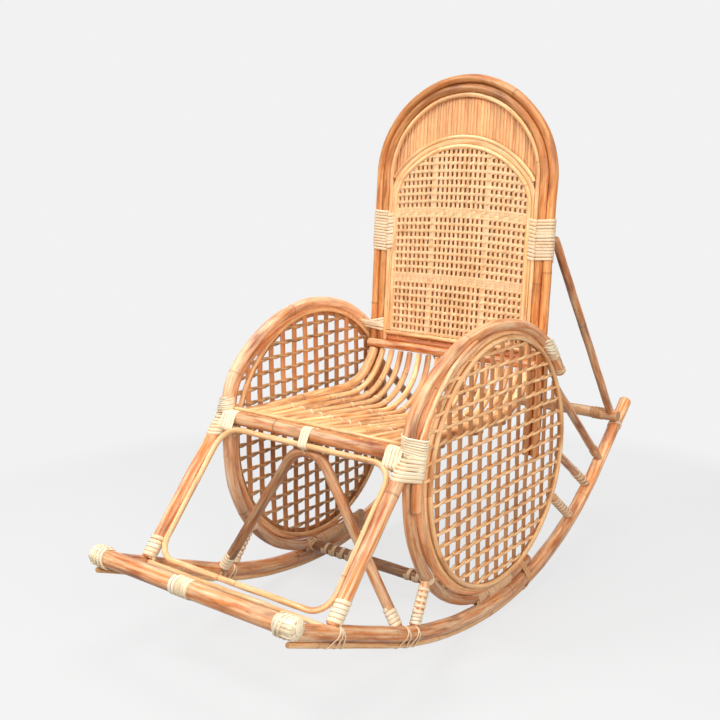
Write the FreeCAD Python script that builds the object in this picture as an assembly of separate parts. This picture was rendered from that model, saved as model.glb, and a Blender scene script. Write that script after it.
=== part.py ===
"""Cane rocking chair: bent poles, latticed side hoops, dished cane seat and an arched back with a woven panel.

Millimetres, +Z up, front towards -Y, origin on the floor under the middle of the chair.
"""
import FreeCAD, Part
import math
import os

V = FreeCAD.Vector

# Fit between touching pieces
gap = 0.3

# Pole radii
bar_r = 17.0
rocker_r = 15.0
strip_r = 5.5
post_r = 13.5
rail_r = 14.0
hoop_r = 12.5
under_arm_r = 10.0
under_arm_tip_r = 2.5
ring_r = 5.0
thin_r = 6.0
toe_strip_r = 5.0
brace_r = 11.0
stretcher_r = 13.0
crossbar_r = 14.0
spacer_r = 10.0
strut_r = 9.5
stay_r = 9.5

# Rocker outline, seen from the side
rocker_x = 248.0
worn_depth = 0.5
rocker_low = strip_r * 2 + rocker_r + gap - worn_depth
rocker_front_radius = 960.0
rocker_front_turn = 22.0
rocker_rear_radius = 730.0
rocker_rear_turn = 42.0
rocker_tail = 206.0
strip_rear_turn = 35.0
strip_overhang = 3.0

# Cross members
bar_y = -632.6
bar_z = 214.0
bar_half = 262.0
rail_y = -298.0
rail_z = 425.0
stretcher_y = -37.0
stretcher_z = 56.0
crossbar_from_tail = 71.0
crossbar_half = 262.0

# Front frame
post_x = 243.0
post_foot = (-518.0, 177.0)
post_top = (-334.0, 388.0)
loop_half = 222.0
loop_low = (-514.0, 181.5)
loop_high = (-317.5, 407.0)
loop_corner = 46.0
toe_strip_place = (-529.0, 171.0)
brace_apex_y = -303.0
brace_apex_z = 391.0
brace_foot_x = 240.0
brace_foot_y = -320.0
brace_slope = 56.3

# Side hoops
hoop_x = 238.0
arm_flare = 2.0
arm_centre = (12.0, 342.0)
arm_radius = 288.0
arm_rear_angle = 31.0
arm_top_angle = 76.0
arm_front_radius = 357.0
arm_front_angle = 134.0
shoulder_radius = 130.0
hoop_low_z = 345.0
hoop_tail_angle = 14.0
ring_centre = (12.0, 342.0)
ring_back_x = 249.5
ring_back_radius = 270.0
ring_face_x = 258.5
ring_face_radius = 262.0
under_arm_x = 260.0
under_arm_points = ((-298.0, 320.0), (-251.0, 506.0), (-99.0, 616.0))

# Lattice
upright_pitch = 38.0
upright_width = 12.0
upright_thick = 3.0
upright_x = 251.4
cross_pitch = 30.0
cross_r = 3.0
cross_x = 256.2

# Rear and front props of the hoops
spacer_top = (-229.0, 161.0)
spacer_foot_y = -287.0
strut_x = 249.0
strut_tops = (24.0, -10.0, -30.0)
strut_foot_turns = (43.5, 37.3, 29.3)

# Back
back_base_y = 175.3
back_lean = 4.02
back_pole_r = 10.0
back_foot = 306.0
back_half = 233.0
back_spring = 919.8
back_rise = 219.0
back_side_radius = 200.0
trim_r = 5.0
trim_front = -3.0
trim_foot = 532.5
panel_cane_r = 5.0
panel_front = -4.0
panel_half = 181.0
panel_spring = 858.9
panel_rise = 130.0
panel_side_radius = 90.0
band_width = 11.4
band_thick = 4.0
outer_cane_r = 4.5
border_w = 541.0
border_r = 5.0
woven_thick = 2.4
slot_columns = 13
slot_rows = 20
slot_width = 11.0
slot_height = 9.5
reed_pitch = 8.2
reed_width = 7.6
reed_thick = 4.0
reed_front = 0.5
red_rail_w = 524.0
red_rail_r = 7.5
red_rail_back = 4.0
lower_rail_w = 513.0
lower_rail_r = 10.0
lower_rail_half = 233.0

# Seat
seat_cane_r = 7.0
seat_cane_count = 15
seat_pitch = 27.0
seat_front_y = rail_y + rail_r + 2.0
seat_front_z = 428.0
seat_side_z = 421.0
seat_dish = 37.0
seat_half = 215.0
seat_bend = 132.0
seat_end_drop = 1.5
side_rail_r = 11.0
side_rail_x = 214.0
support_r = 9.0
support_ys = (-142.0, 0.0, 92.0)
tie_thick = 1.2
tie_width = 5.0
edge_strip_r = 4.0
edge_strip_y = -284.0
edge_strip_z = 443.5

# Back stays
stay_top_w = 792.0
stay_top_x = 233.0
stay_foot_x = 243.0

# Bindings
wire_r = 2.5
corner_x = 247.8
corner_low = (-293.0, 362.0)
corner_high = (-287.0, 456.0)
corner_turns = 12
corner_flat = 4.0
corner_radius = 22.5
back_binding_w = 748.0
back_binding_pitch = 8.0
back_binding_in = 191.4
back_binding_turns = 10
sleeve_thick = 2.5
thin_sleeve = 1.2
bar_wrap = (-60.0, -12.0)
bar_end_wrap = 40.0
post_wrap = (42.0, 78.0)
brace_wrap = (44.0, 92.0)
arm_wrap_angles = (32.0, 40.0)
spacer_wraps = (36.0, 49.0, 62.0)
spacer_wrap_width = 7.0
strut_wrap_ends = ((0.72, 0.84), (0.62, 0.80), (0.30, 0.74))
crossbar_wrap = (196.0, 222.0)
rail_tie_places = (-198.0, 0.0, 196.0)
rail_tie_half = 12.0
apex_tie_half = 14.0
stretcher_wrap_places = (-180.0, -120.0, -60.0, 60.0, 120.0, 180.0)
stretcher_wrap_half = 9.0
lashing_turns = (9.0, 11.4)
lashing_lean = (-6.0, 2.0)
lashing_r = 17.4

sides = (("left", -1), ("right", 1))
pieces = {}


def line(a, b):
    """Straight edge between two points."""
    return Part.makeLine(a, b)


def side_point(x, centre, radius, angle):
    """Point on a circle in the side view, by its angle in degrees from +Y towards +Z."""
    turn = math.radians(angle)
    return V(x, centre[0] + radius * math.cos(turn), centre[1] + radius * math.sin(turn))


def side_arc(x, centre, radius, first, last):
    """Arc in the side view."""
    angles = (first, (first + last) / 2, last)
    return Part.Arc(*[side_point(x, centre, radius, a) for a in angles]).toShape()


def front_arc(centre, radius, first, last):
    """Arc in the plane of the back, by its angle in degrees from +X towards +Z."""
    points = []
    for angle in (first, (first + last) / 2, last):
        turn = math.radians(angle)
        points.append(V(centre[0] + radius * math.cos(turn), 0, centre[1] + radius * math.sin(turn)))
    return Part.Arc(*points).toShape()


def tube(edges, radius):
    """Round pole along a chain of tangent lines and arcs."""
    path = Part.Wire(edges)
    first = edges[0]
    start = first.valueAt(first.FirstParameter)
    heading = first.tangentAt(first.FirstParameter)
    section = Part.Wire(Part.makeCircle(radius, start, heading))
    return path.makePipeShell([section], True, False)


def rod(a, b, radius):
    """Straight round pole from a to b."""
    return Part.makeCylinder(radius, (b - a).Length, a, b - a)


def sleeve(a, b, radius, thick=sleeve_thick):
    """Band of binding round a straight pole."""
    inner = radius + gap / 3
    return rod(a, b, inner + thick).cut(rod(a, b, inner))


def largest(shape):
    """The biggest solid left after a cut."""
    return max(shape.Solids, key=lambda solid: solid.Volume)


def cope(shape, *neighbours):
    """Pole end shaped to sit on its neighbours."""
    for neighbour in neighbours:
        shape = largest(shape.cut(neighbour))
    return shape


def tangent_point(start, centre, radius):
    """Where a line from start touches the underside of a circle in the side view."""
    away_y = centre[0] - start[0]
    away_z = centre[1] - start[1]
    reach = math.hypot(away_y, away_z)
    heading = math.atan2(away_z, away_y) - math.asin(radius / reach)
    run = math.sqrt(reach ** 2 - radius ** 2)
    return start[0] + run * math.cos(heading), start[1] + run * math.sin(heading)


def basket_arch(half, rise, side_radius):
    """Top radius and its centre's depth below the springing, for an arch of three arcs."""
    top_radius = ((half - side_radius) ** 2 / (rise - side_radius) + side_radius + rise) / 2
    return top_radius, top_radius - rise


class Arch:
    """Three-arc arch on two legs, in the plane of the back."""

    def __init__(self, half, spring, rise, side_radius):
        self.half = half
        self.spring = spring
        self.rise = rise
        self.side_radius = side_radius
        self.top_radius, self.depth = basket_arch(half, rise, side_radius)
        self.side_centre = half - side_radius
        self.meet = math.degrees(math.atan2(self.depth, self.side_centre))

    def offset(self, outward):
        """The parallel arch that far outside this one."""
        return Arch(self.half + outward, self.spring, self.rise + outward, self.side_radius + outward)

    def crown(self):
        """Edges of the three arcs, from right to left."""
        side = self.side_centre
        right = front_arc((side, self.spring), self.side_radius, 0, self.meet)
        top = front_arc((0, self.spring - self.depth), self.top_radius, self.meet, 180 - self.meet)
        left = front_arc((-side, self.spring), self.side_radius, 180 - self.meet, 180)
        return [right, top, left]

    def edges(self, foot):
        """Edges of the whole arch with legs down to foot."""
        right_leg = line(V(self.half, 0, foot), V(self.half, 0, self.spring))
        left_leg = line(V(-self.half, 0, self.spring), V(-self.half, 0, foot))
        return [right_leg] + self.crown() + [left_leg]

    def height(self, x):
        """Height of the crown above x."""
        x = abs(x)
        if x <= self.top_radius * math.cos(math.radians(self.meet)):
            return self.spring - self.depth + math.sqrt(self.top_radius ** 2 - x ** 2)
        return self.spring + math.sqrt(max(self.side_radius ** 2 - (x - self.side_centre) ** 2, 0))


def lean(shape):
    """Carry a shape from the upright drawing plane to the leaning back."""
    shape = shape.copy()
    shape.rotate(V(0, 0, 0), V(1, 0, 0), -back_lean)
    shape.translate(V(0, back_base_y, 0))
    return shape


def back_point(x, w, behind=0.0):
    """Point of the leaning back, at height w along it and that far behind its middle plane."""
    rise = math.cos(math.radians(back_lean))
    run = math.sin(math.radians(back_lean))
    return V(x, back_base_y + w * run + behind * rise, w * rise - behind * run)


def biarc(a, a_dir, b, b_dir):
    """Two tangent arcs from a to b with the given headings."""
    chord = b - a
    both = a_dir + b_dir
    square = 2 * (1 - a_dir.dot(b_dir))
    along = chord.dot(both)
    reach = (-along + math.sqrt(along ** 2 + square * chord.dot(chord))) / square
    joint = (a + a_dir * reach + b - b_dir * reach) * 0.5
    edges = []
    for start, heading, end in ((a, a_dir, joint), (b, b_dir * -1, joint)):
        span = end - start
        across = (span - heading * span.dot(heading)).normalize()
        radius = span.dot(span) / (2 * span.dot(across))
        centre = start + across * radius
        middle = centre + ((start - centre) + (end - centre)).normalize() * radius
        edges.append((start, middle, end))
    first, second = edges
    return [Part.Arc(*first).toShape(), Part.Arc(second[2], second[1], second[0]).toShape()]


def winding(low, high, wide, flat, radius, turns):
    """One unbroken tube wound up round poles side by side: straight flats and half turns of two arcs each."""
    axis = (high - low).normalize()
    wide = (wide - axis * wide.dot(axis)).normalize()
    deep = axis.cross(wide)
    flats = 2 * flat
    half_turn = math.pi * radius
    slope = (high - low).Length / turns / (2 * flats + 2 * half_turn)

    def place(end, travel):
        """Where a half turn begins or ends, and its heading there."""
        point = low + wide * (end[0] * flat) + deep * (end[1] * radius) + axis * (slope * travel)
        return point, (wide * -end[1] + axis * slope).normalize()

    edges = []
    travel = 0.0
    corners = ((1, -1), (1, 1), (-1, 1), (-1, -1))
    here = place(corners[0], travel)
    for step in range(turns * 2):
        travel += half_turn
        there = place(corners[(2 * step + 1) % 4], travel)
        edges += biarc(here[0], here[1], there[0], there[1])
        travel += flats
        after = place(corners[(2 * step + 2) % 4], travel)
        edges.append(line(there[0], after[0]))
        here = after
    print("least gap between turns", round(least_gap(edges), 2))
    return tube(edges, wire_r)


def least_gap(edges):
    """Least distance between points of neighbouring turns, less the wire."""
    points = []
    for edge in edges:
        points += edge.discretize(9)[:-1]
    turn = 6 * 8
    least = 1000.0
    for index, point in enumerate(points):
        for other in points[index + turn // 2:index + 2 * turn]:
            least = min(least, (point - other).Length)
    return least - 2 * wire_r


def corner_room(side):
    """Space that a corner binding takes, with the fit round it."""
    low = V(side * corner_x, *corner_low)
    high = V(side * corner_x, *corner_high)
    axis = (high - low).normalize()
    low = low - axis * (wire_r + gap)
    run = high + axis * (wire_r + gap) - low
    reach = V(corner_flat, 0, 0)
    radius = corner_radius + wire_r + gap
    ends = [Part.makeCylinder(radius, run.Length, low + offset, run) for offset in (reach, reach * -1)]
    deep = axis.cross(V(1, 0, 0)) * radius
    corners = [low - reach - deep, low + reach - deep, low + reach + deep, low - reach + deep, low - reach - deep]
    middle = Part.Face(Part.makePolygon(corners)).extrude(run)
    return middle.fuse(ends)


def rocker_edges(x, outward, front_length, rear_turn, tail):
    """Side outline of a rocker, or of a line that far below it."""
    front = rocker_front_radius + outward
    rear = rocker_rear_radius + outward
    front_centre = (0.0, rocker_low + rocker_front_radius)
    rear_centre = (0.0, rocker_low + rocker_rear_radius)
    first = side_point(x, front_centre, front, -90 - rocker_front_turn)
    turn = math.radians(rocker_front_turn)
    tip = first + V(0, -math.cos(turn), math.sin(turn)) * front_length
    edges = [line(tip, first), side_arc(x, front_centre, front, -90 - rocker_front_turn, -90)]
    edges.append(side_arc(x, rear_centre, rear, -90, -90 + rear_turn))
    if tail:
        last = side_point(x, rear_centre, rear, -90 + rear_turn)
        turn = math.radians(rear_turn)
        edges.append(line(last, last + V(0, math.cos(turn), math.sin(turn)) * tail))
    return edges


def rocker_point(x, turn):
    """Point on the middle line of the rocker's rear arc, or along its tail past that."""
    centre = (0.0, rocker_low + rocker_rear_radius)
    if turn <= rocker_rear_turn:
        return side_point(x, centre, rocker_rear_radius, -90 + turn)
    return tail_point(x, rocker_rear_radius * math.radians(turn - rocker_rear_turn))


def tail_point(x, along):
    """Point on the straight tail of the rocker."""
    centre = (0.0, rocker_low + rocker_rear_radius)
    turn = math.radians(rocker_rear_turn)
    last = side_point(x, centre, rocker_rear_radius, -90 + rocker_rear_turn)
    return last + V(0, math.cos(turn), math.sin(turn)) * along


def rocker_height(y):
    """Height of the rocker's middle line in front of its lowest point."""
    return rocker_low + rocker_front_radius - math.sqrt(rocker_front_radius ** 2 - y ** 2)


def stepped(centre, radius, next_radius, angle):
    """Centre of the arc that carries on from another at an angle without a kink."""
    turn = math.radians(angle)
    step = radius - next_radius
    return centre[0] + step * math.cos(turn), centre[1] + step * math.sin(turn)


def arm_centres():
    """Centres of the arm's front arc and of its shoulder."""
    front_centre = stepped(arm_centre, arm_radius, arm_front_radius, arm_top_angle)
    return front_centre, stepped(front_centre, arm_front_radius, shoulder_radius, arm_front_angle)


def hoop_front_y():
    """Where the upright front of the hoop stands."""
    return arm_centres()[1][0] - shoulder_radius


def hoop_edges(side):
    """Outer hoop: arm, shoulder, straight front, low arc, and a tail that lies along the rocker."""
    x = side * hoop_x
    front_centre, shoulder = arm_centres()
    front_y = hoop_front_y()
    edges = [
        side_arc(x, arm_centre, arm_radius, arm_rear_angle, arm_top_angle),
        side_arc(x, front_centre, arm_front_radius, arm_top_angle, arm_front_angle),
        side_arc(x, shoulder, shoulder_radius, arm_front_angle, 180),
    ]
    for edge in edges:
        edge.rotate(V(x, front_y, 0), V(0, 0, 1), -side * arm_flare)

    # The low arc touches both the straight front and the line that lies along the rocker
    rise = math.sqrt((rocker_r + hoop_r + gap) ** 2 - (rocker_x - hoop_x) ** 2)
    tail_radius = rocker_rear_radius - rise
    tail_centre = (0.0, rocker_low + rocker_rear_radius)
    low_radius = low_arc_radius(front_y, tail_centre[1] - hoop_low_z, tail_radius)
    low_centre = (front_y + low_radius, hoop_low_z)
    meet = math.degrees(math.atan2(low_centre[1] - tail_centre[1], low_centre[0] - tail_centre[0]))
    edges.append(line(V(x, front_y, shoulder[1]), V(x, front_y, hoop_low_z)))
    edges.append(side_arc(x, low_centre, low_radius, 180, 360 + meet))
    edges.append(side_arc(x, tail_centre, tail_radius, meet, -90 + hoop_tail_angle))
    return edges


def low_arc_radius(front_y, drop, tail_radius):
    """Radius of the arc that touches an upright line and, from inside, a larger circle."""
    return (tail_radius ** 2 - front_y ** 2 - drop ** 2) / (2 * (tail_radius + front_y))


def make_rockers():
    """Rockers, their wear strips and the three poles across them."""
    front_reach = -bar_y - rocker_front_radius * math.sin(math.radians(rocker_front_turn))
    front_length = front_reach / math.cos(math.radians(rocker_front_turn))
    floor = Part.makeBox(2000, 2000, 50, V(-1000, -1000, -50))
    pieces["front_bar"] = rod(V(-bar_half, bar_y, bar_z), V(bar_half, bar_y, bar_z), bar_r)
    bar_room = rod(V(-bar_half, bar_y, bar_z), V(bar_half, bar_y, bar_z), bar_r + gap)
    for name, side in sides:
        x = side * rocker_x
        pole = tube(rocker_edges(x, 0, front_length, rocker_rear_turn, rocker_tail), rocker_r)
        pieces["rocker_" + name] = cope(pole, bar_room)
        below = rocker_r + strip_r + gap
        strip = tube(rocker_edges(x, below, front_length + strip_overhang, strip_rear_turn, 0), strip_r)
        pieces["wear_strip_" + name] = cope(strip, floor, bar_room)
    reach = V(crossbar_half, 0, 0)
    pieces["rear_crossbar"] = rod(crossbar_middle() - reach, crossbar_middle() + reach, crossbar_r)


def rocker_room(side):
    """Space that a rocker takes, with the fit round it."""
    return tube(rocker_edges(side * rocker_x, 0, 400, rocker_rear_turn, rocker_tail), rocker_r + gap)


def make_hoops():
    """Outer hoops, under-arm poles, rings, lattice, spacers and rear struts."""
    for name, side in sides:
        pieces["outer_hoop_" + name] = tube(hoop_edges(side), hoop_r)
        low, middle, high = [V(side * under_arm_x, y, z) for y, z in under_arm_points]
        pieces["under_arm_pole_" + name] = tapered(low, middle, high, under_arm_r, under_arm_tip_r)
        pieces["ring_back_" + name] = ring(side * ring_back_x, ring_back_radius, ring_r)
        pieces["ring_face_" + name] = ring(side * ring_face_x, ring_face_radius, ring_r)
        pieces["lattice_uprights_" + name] = Part.makeCompound(lattice_uprights(side))
        pieces["lattice_cross_canes_" + name] = Part.makeCompound(lattice_cross_canes(side))
        make_props(name, side)


def tapered(low, middle, high, first, last):
    """Pole along an arc that thins towards its far end."""
    arc = Part.Arc(low, middle, high).toShape()
    pipe = Part.BRepOffsetAPI.MakePipeShell(Part.Wire(arc))
    for at, radius in ((arc.FirstParameter, first), (arc.LastParameter, last)):
        pipe.add(Part.Wire(Part.makeCircle(radius, arc.valueAt(at), arc.tangentAt(at))))
    pipe.build()
    pipe.makeSolid()
    return pipe.shape()


def lattice_offsets(reach, pitch, margin):
    """Evenly spaced offsets across a circle, and half the chord at each."""
    count = int((reach - margin) / pitch)
    for step in range(-count, count + 1):
        offset = step * pitch
        yield offset, math.sqrt(reach ** 2 - (abs(offset) + margin) ** 2)


def lattice_uprights(side):
    """Flat upright strips that end inside the back ring."""
    reach = ring_back_radius - ring_r - gap
    strips = []
    for offset, half in lattice_offsets(reach, upright_pitch, upright_width / 2):
        corner = V(side * upright_x - upright_thick / 2, ring_centre[0] + offset - upright_width / 2,
                   ring_centre[1] - half)
        strips.append(Part.makeBox(upright_thick, upright_width, 2 * half, corner))
    return strips


def lattice_cross_canes(side):
    """Thin round canes across the uprights that end inside the face ring."""
    reach = ring_face_radius - ring_r - gap
    canes = []
    for offset, half in lattice_offsets(reach, cross_pitch, cross_r):
        centre = V(side * cross_x, ring_centre[0], ring_centre[1] + offset)
        canes.append(rod(centre - V(0, half, 0), centre + V(0, half, 0), cross_r))
    return canes


def ring(x, radius, thickness):
    """Thin cane bent to a full circle in the side view."""
    return Part.makeTorus(radius, thickness, V(x, *ring_centre), V(1, 0, 0))


def ring_room(side):
    """Space that the back ring takes, with the fit round it."""
    return ring(side * ring_back_x, ring_back_radius, ring_r + gap)


def make_props(name, side):
    """Spacer in front and three struts behind, from the hoop to the rocker."""
    rocker = rocker_room(side)
    hoop = tube(hoop_edges(side), hoop_r + gap)
    pieces["hoop_spacer_" + name] = cope(rod(*spacer_ends(side), spacer_r), hoop, rocker)
    rings = [ring_room(side), face_ring_room(side)]
    struts = [cope(rod(*ends, strut_r), *rings, rocker, hoop) for ends in strut_ends(side)]
    pieces["rear_struts_" + name] = Part.makeCompound(struts)


def spacer_ends(side):
    """Ends of the middle line of a hoop spacer."""
    foot = V(side * rocker_x, spacer_foot_y, rocker_height(spacer_foot_y))
    return V(side * hoop_x, *spacer_top), foot


def strut_ends(side):
    """Ends of the middle lines of the three rear struts."""
    x = side * strut_x
    for top, turn in zip(strut_tops, strut_foot_turns):
        yield side_point(x, ring_centre, ring_back_radius, top), rocker_point(x, turn)


def face_ring_room(side):
    """Space that the face ring takes, with the fit round it."""
    return ring(side * ring_face_x, ring_face_radius, ring_r + gap)


def make_front():
    """Posts, seat rail, edge strip, front loop, toe strip, arched brace and the stretcher."""
    hoops = [tube(hoop_edges(side), hoop_r + gap) for _, side in sides]
    rockers = [rocker_room(side) for _, side in sides]
    corners = [corner_room(side) for _, side in sides]
    reach = V(hoop_x, 0, 0)
    middle = V(0, rail_y, rail_z)
    pieces["front_rail"] = cope(rod(middle - reach, middle + reach, rail_r), *hoops, *corners)
    rail_room = rod(middle - reach, middle + reach, rail_r + gap)
    middle = V(0, edge_strip_y, edge_strip_z)
    pieces["seat_edge_strip"] = cope(rod(middle - reach, middle + reach, edge_strip_r), *corners)
    middle = V(0, stretcher_y, stretcher_z)
    pieces["stretcher"] = cope(rod(middle - reach, middle + reach, stretcher_r), *hoops, *rockers)
    posts = []
    for index, (name, side) in enumerate(sides):
        foot, top = post_ends(side)
        post = rod(foot, top, post_r)
        pieces["front_post_" + name] = cope(post, rockers[index], hoops[index], rail_room, corners[index])
        posts.append(rod(foot, top, post_r + gap))
    pieces["front_loop"] = front_loop()
    reach = V(post_x, 0, 0)
    middle = V(0, *toe_strip_place)
    pieces["toe_strip"] = cope(rod(middle - reach, middle + reach, toe_strip_r), *posts, *rockers)
    pieces["arched_brace"] = cope(tube(brace_edges(), brace_r), *rockers)


def post_ends(side):
    """Middle line of a front post, carried past both joints."""
    run = V(0, post_top[0] - post_foot[0], post_top[1] - post_foot[1])
    return V(side * post_x, *post_foot) - run * 0.1, V(side * post_x, *post_top) + run * 0.12


def front_loop():
    """Thin cane bent to a rounded rectangle in the slanting plane of the posts."""
    low = V(0, *loop_low)
    high = V(0, *loop_high)
    up = (high - low).normalize()
    across = V(1, 0, 0)
    height = (high - low).Length
    edges = []
    corners = ((1, 0), (1, height), (-1, height), (-1, 0))
    last = low + across * (loop_half - loop_corner) * -1
    for hand, level in corners:
        inward = loop_corner if level == 0 else -loop_corner
        centre = low + across * (hand * (loop_half - loop_corner)) + up * (level + inward)
        flat = up * (-loop_corner if level == 0 else loop_corner)
        upright = across * (hand * loop_corner)
        first, second = (flat, upright) if (hand > 0) == (level == 0) else (upright, flat)
        bend = (first + second).normalize() * loop_corner
        edges.append(line(last, centre + first))
        edges.append(Part.Arc(centre + first, centre + bend, centre + second).toShape())
        last = centre + second
    return tube(edges, thin_r)


def brace_edges():
    """Bent pole with its apex under the seat rail and its feet on the rockers."""
    foot_z = rocker_height(brace_foot_y)
    peak = V(0, brace_apex_y, foot_z + brace_foot_x * math.tan(math.radians(brace_slope)))
    feet = [V(side * brace_foot_x, brace_foot_y, foot_z) for _, side in sides]
    down = (V(0, brace_foot_y, foot_z) - peak).normalize()
    half = math.atan2(brace_foot_x, (V(0, brace_foot_y, foot_z) - peak).Length)
    bend = (peak.z - brace_apex_z) / (1 / math.sin(half) - 1)
    starts = [peak + (foot - peak).normalize() * (bend / math.tan(half)) for foot in feet]
    crown = peak + down * (bend / math.sin(half) - bend)
    return [line(feet[0], starts[0]), Part.Arc(starts[0], crown, starts[1]).toShape(), line(starts[1], feet[1])]


def make_back():
    """Arched poles, trim, reeds, woven panel with its arches, and the rails at its foot."""
    outer = Arch(back_half, back_spring, back_rise, back_side_radius)
    step = 2 * back_pole_r + gap
    inner = outer.offset(-step)
    trim = inner.offset(-(back_pole_r + trim_r + gap))
    pieces["back_outer_arch"] = lean(tube(outer.edges(back_foot), back_pole_r))
    pieces["back_inner_arch"] = lean(tube(inner.edges(back_foot), back_pole_r))
    pieces["back_trim_arch"] = forward(tube(trim.edges(trim_foot), trim_r), trim_front)
    panel = Arch(panel_half, panel_spring, panel_rise, panel_side_radius)
    make_panel(panel, trim)
    reeds = reed_panel(trim.offset(-trim_r - gap), panel)
    pieces["reed_panel"] = lean(Part.makeCompound(reeds))
    make_back_rails(inner)


def forward(shape, front):
    """A shape of the drawing plane set in front of the back's middle plane, leaning."""
    shape = shape.copy()
    shape.translate(V(0, front, 0))
    return lean(shape)


def between(inside, outside, half, thick, foot):
    """Flat band between two arches, no wider than half each way, with legs to foot."""
    wall = []
    for arch in (inside, outside):
        edges = arch.edges(foot)
        feet = line(V(-arch.half, 0, foot), V(arch.half, 0, foot))
        wall.append(Part.Face(Part.Wire(edges + [feet])))
    band = wall[1].cut(wall[0])
    solid = band.extrude(V(0, thick, 0))
    return solid.common(Part.makeBox(2 * half, thick, 2000, V(-half, 0, 0)))


def make_panel(panel, trim):
    """Woven panel, its inner cane, the flat band and the outer cane."""
    foot = border_w + border_r + gap
    trim_inside = trim.half - trim_r - gap
    pieces["panel_inner_cane"] = forward(tube(panel.edges(foot), panel_cane_r), panel_front)
    near = panel.offset(panel_cane_r + gap)
    far = near.offset(band_width)
    band = between(near, far, trim_inside, band_thick, foot)
    top = back_binding_w + back_binding_pitch * back_binding_turns
    bound = Part.makeBox(800, 40, top - back_binding_w + 12, V(-400, -20, back_binding_w - 6))
    pieces["panel_band"] = forward(largest(band).cut(bound), panel_front - band_thick / 2)
    cane = tube(far.offset(outer_cane_r + gap).edges(panel_spring - 40), outer_cane_r)
    above = Part.makeBox(2 * trim_inside, 100, 400, V(-trim_inside, -50, panel_spring))
    pieces["panel_outer_cane"] = forward(largest(cane.common(above)), panel_front)
    inside = panel.offset(-panel_cane_r - gap)
    feet = line(V(-inside.half, 0, foot), V(inside.half, 0, foot))
    outline = Part.Wire(inside.edges(foot) + [feet])
    net = Part.Face([outline] + slots(inside, foot))
    pieces["woven_panel"] = forward(net.extrude(V(0, woven_thick, 0)), panel_front - woven_thick / 2)


def slots(outline, foot):
    """Small upright openings of the woven cane, in rows."""
    column = 2 * outline.half / (slot_columns + 0.5)
    row = (outline.height(0) - foot) / (slot_rows + 0.5)
    holes = []
    for across in range(slot_columns):
        x = (across - (slot_columns - 1) / 2) * column
        for up in range(slot_rows):
            z = foot + (up + 0.75) * row
            edge = abs(x) + slot_width / 2
            if z + slot_height / 2 > outline.height(edge) - 4:
                continue
            left, right = x - slot_width / 2, x + slot_width / 2
            low, high = z - slot_height / 2, z + slot_height / 2
            corners = [V(left, 0, low), V(left, 0, high), V(right, 0, high), V(right, 0, low), V(left, 0, low)]
            holes.append(Part.makePolygon(corners))
    print("slots in the woven panel", len(holes))
    return holes


def reed_panel(above, panel):
    """Upright reeds side by side, cut along the trim above and the outer cane below."""
    below = panel.offset(panel_cane_r + band_width + 2 * outer_cane_r + 3 * gap)
    count = int((above.half - reed_width) / reed_pitch)
    reeds = []
    for step in range(-count, count + 1):
        edges = (step * reed_pitch - reed_width / 2, step * reed_pitch + reed_width / 2)
        low = [V(x, reed_front, below.height(x)) for x in edges]
        high = [V(x, reed_front, above.height(x)) for x in edges]
        outline = Part.makePolygon([low[0], low[1], high[1], high[0], low[0]])
        reeds.append(Part.Face(outline).extrude(V(0, reed_thick, 0)))
    return reeds


def make_back_rails(inner):
    """Border cane, red rail and lower rail at the foot of the back."""
    reach = panel_half + panel_cane_r
    pieces["panel_border"] = back_rod(reach, border_w, panel_front, border_r)
    reach = inner.half - back_pole_r - gap
    pieces["back_red_rail"] = back_rod(reach, red_rail_w, red_rail_back, red_rail_r)
    front = -(back_pole_r + lower_rail_r + gap)
    pieces["back_lower_rail"] = back_rod(lower_rail_half, lower_rail_w, front, lower_rail_r)


def back_rod(reach, w, behind, radius):
    """Straight pole across the leaning back."""
    return rod(back_point(-reach, w, behind), back_point(reach, w, behind), radius)


def crossbar_middle():
    """Middle of the rear crossbar, which lies on the tails of the rockers."""
    turn = math.radians(rocker_rear_turn)
    lift = V(0, -math.sin(turn), math.cos(turn)) * (rocker_r + crossbar_r + gap)
    return tail_point(0, rocker_tail - crossbar_from_tail) + lift


def make_stays():
    """Slanting stays from behind the back's bindings to the rear crossbar."""
    middle = crossbar_middle()
    reach = V(crossbar_half, 0, 0)
    crossbar = rod(middle - reach, middle + reach, crossbar_r + gap)
    for name, side in sides:
        top = back_point(side * stay_top_x, stay_top_w, back_pole_r + 2 * wire_r + stay_r + 2 * gap)
        foot = V(side * stay_foot_x, middle.y, middle.z)
        pieces["back_stay_" + name] = cope(rod(top, foot, stay_r), crossbar, rocker_room(side))


def seat_low(x):
    """Height of a seat cane's middle line at its lowest, by its place across the dish."""
    return seat_side_z - seat_dish * (1 - (x / seat_half) ** 2)


def seat_bend_centre(x, radius):
    """Centre of the bend at the back of the seat, and the cane's end there."""
    rail = back_point(x, lower_rail_w, -(back_pole_r + lower_rail_r + gap))
    end = (rail.y - (radius - seat_cane_r), rail.z - lower_rail_r - gap - seat_end_drop)
    centre_z = seat_low(x) + seat_bend
    centre_y = end[0] - math.sqrt(seat_bend ** 2 - (centre_z - end[1]) ** 2)
    return (centre_y, centre_z), end


def seat_path(x, radius):
    """Seat cane: from the front rail down to the dish, then bent up under the lower back rail."""
    centre, end = seat_bend_centre(x, radius)
    start = (seat_front_y, seat_front_z)
    touch = tangent_point(start, centre, seat_bend)
    first = math.degrees(math.atan2(touch[1] - centre[1], touch[0] - centre[0]))
    last = math.degrees(math.atan2(end[1] - centre[1], end[0] - centre[0]))
    return [line(V(x, *start), V(x, *touch)), side_arc(x, centre, seat_bend, first, last)]


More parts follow.
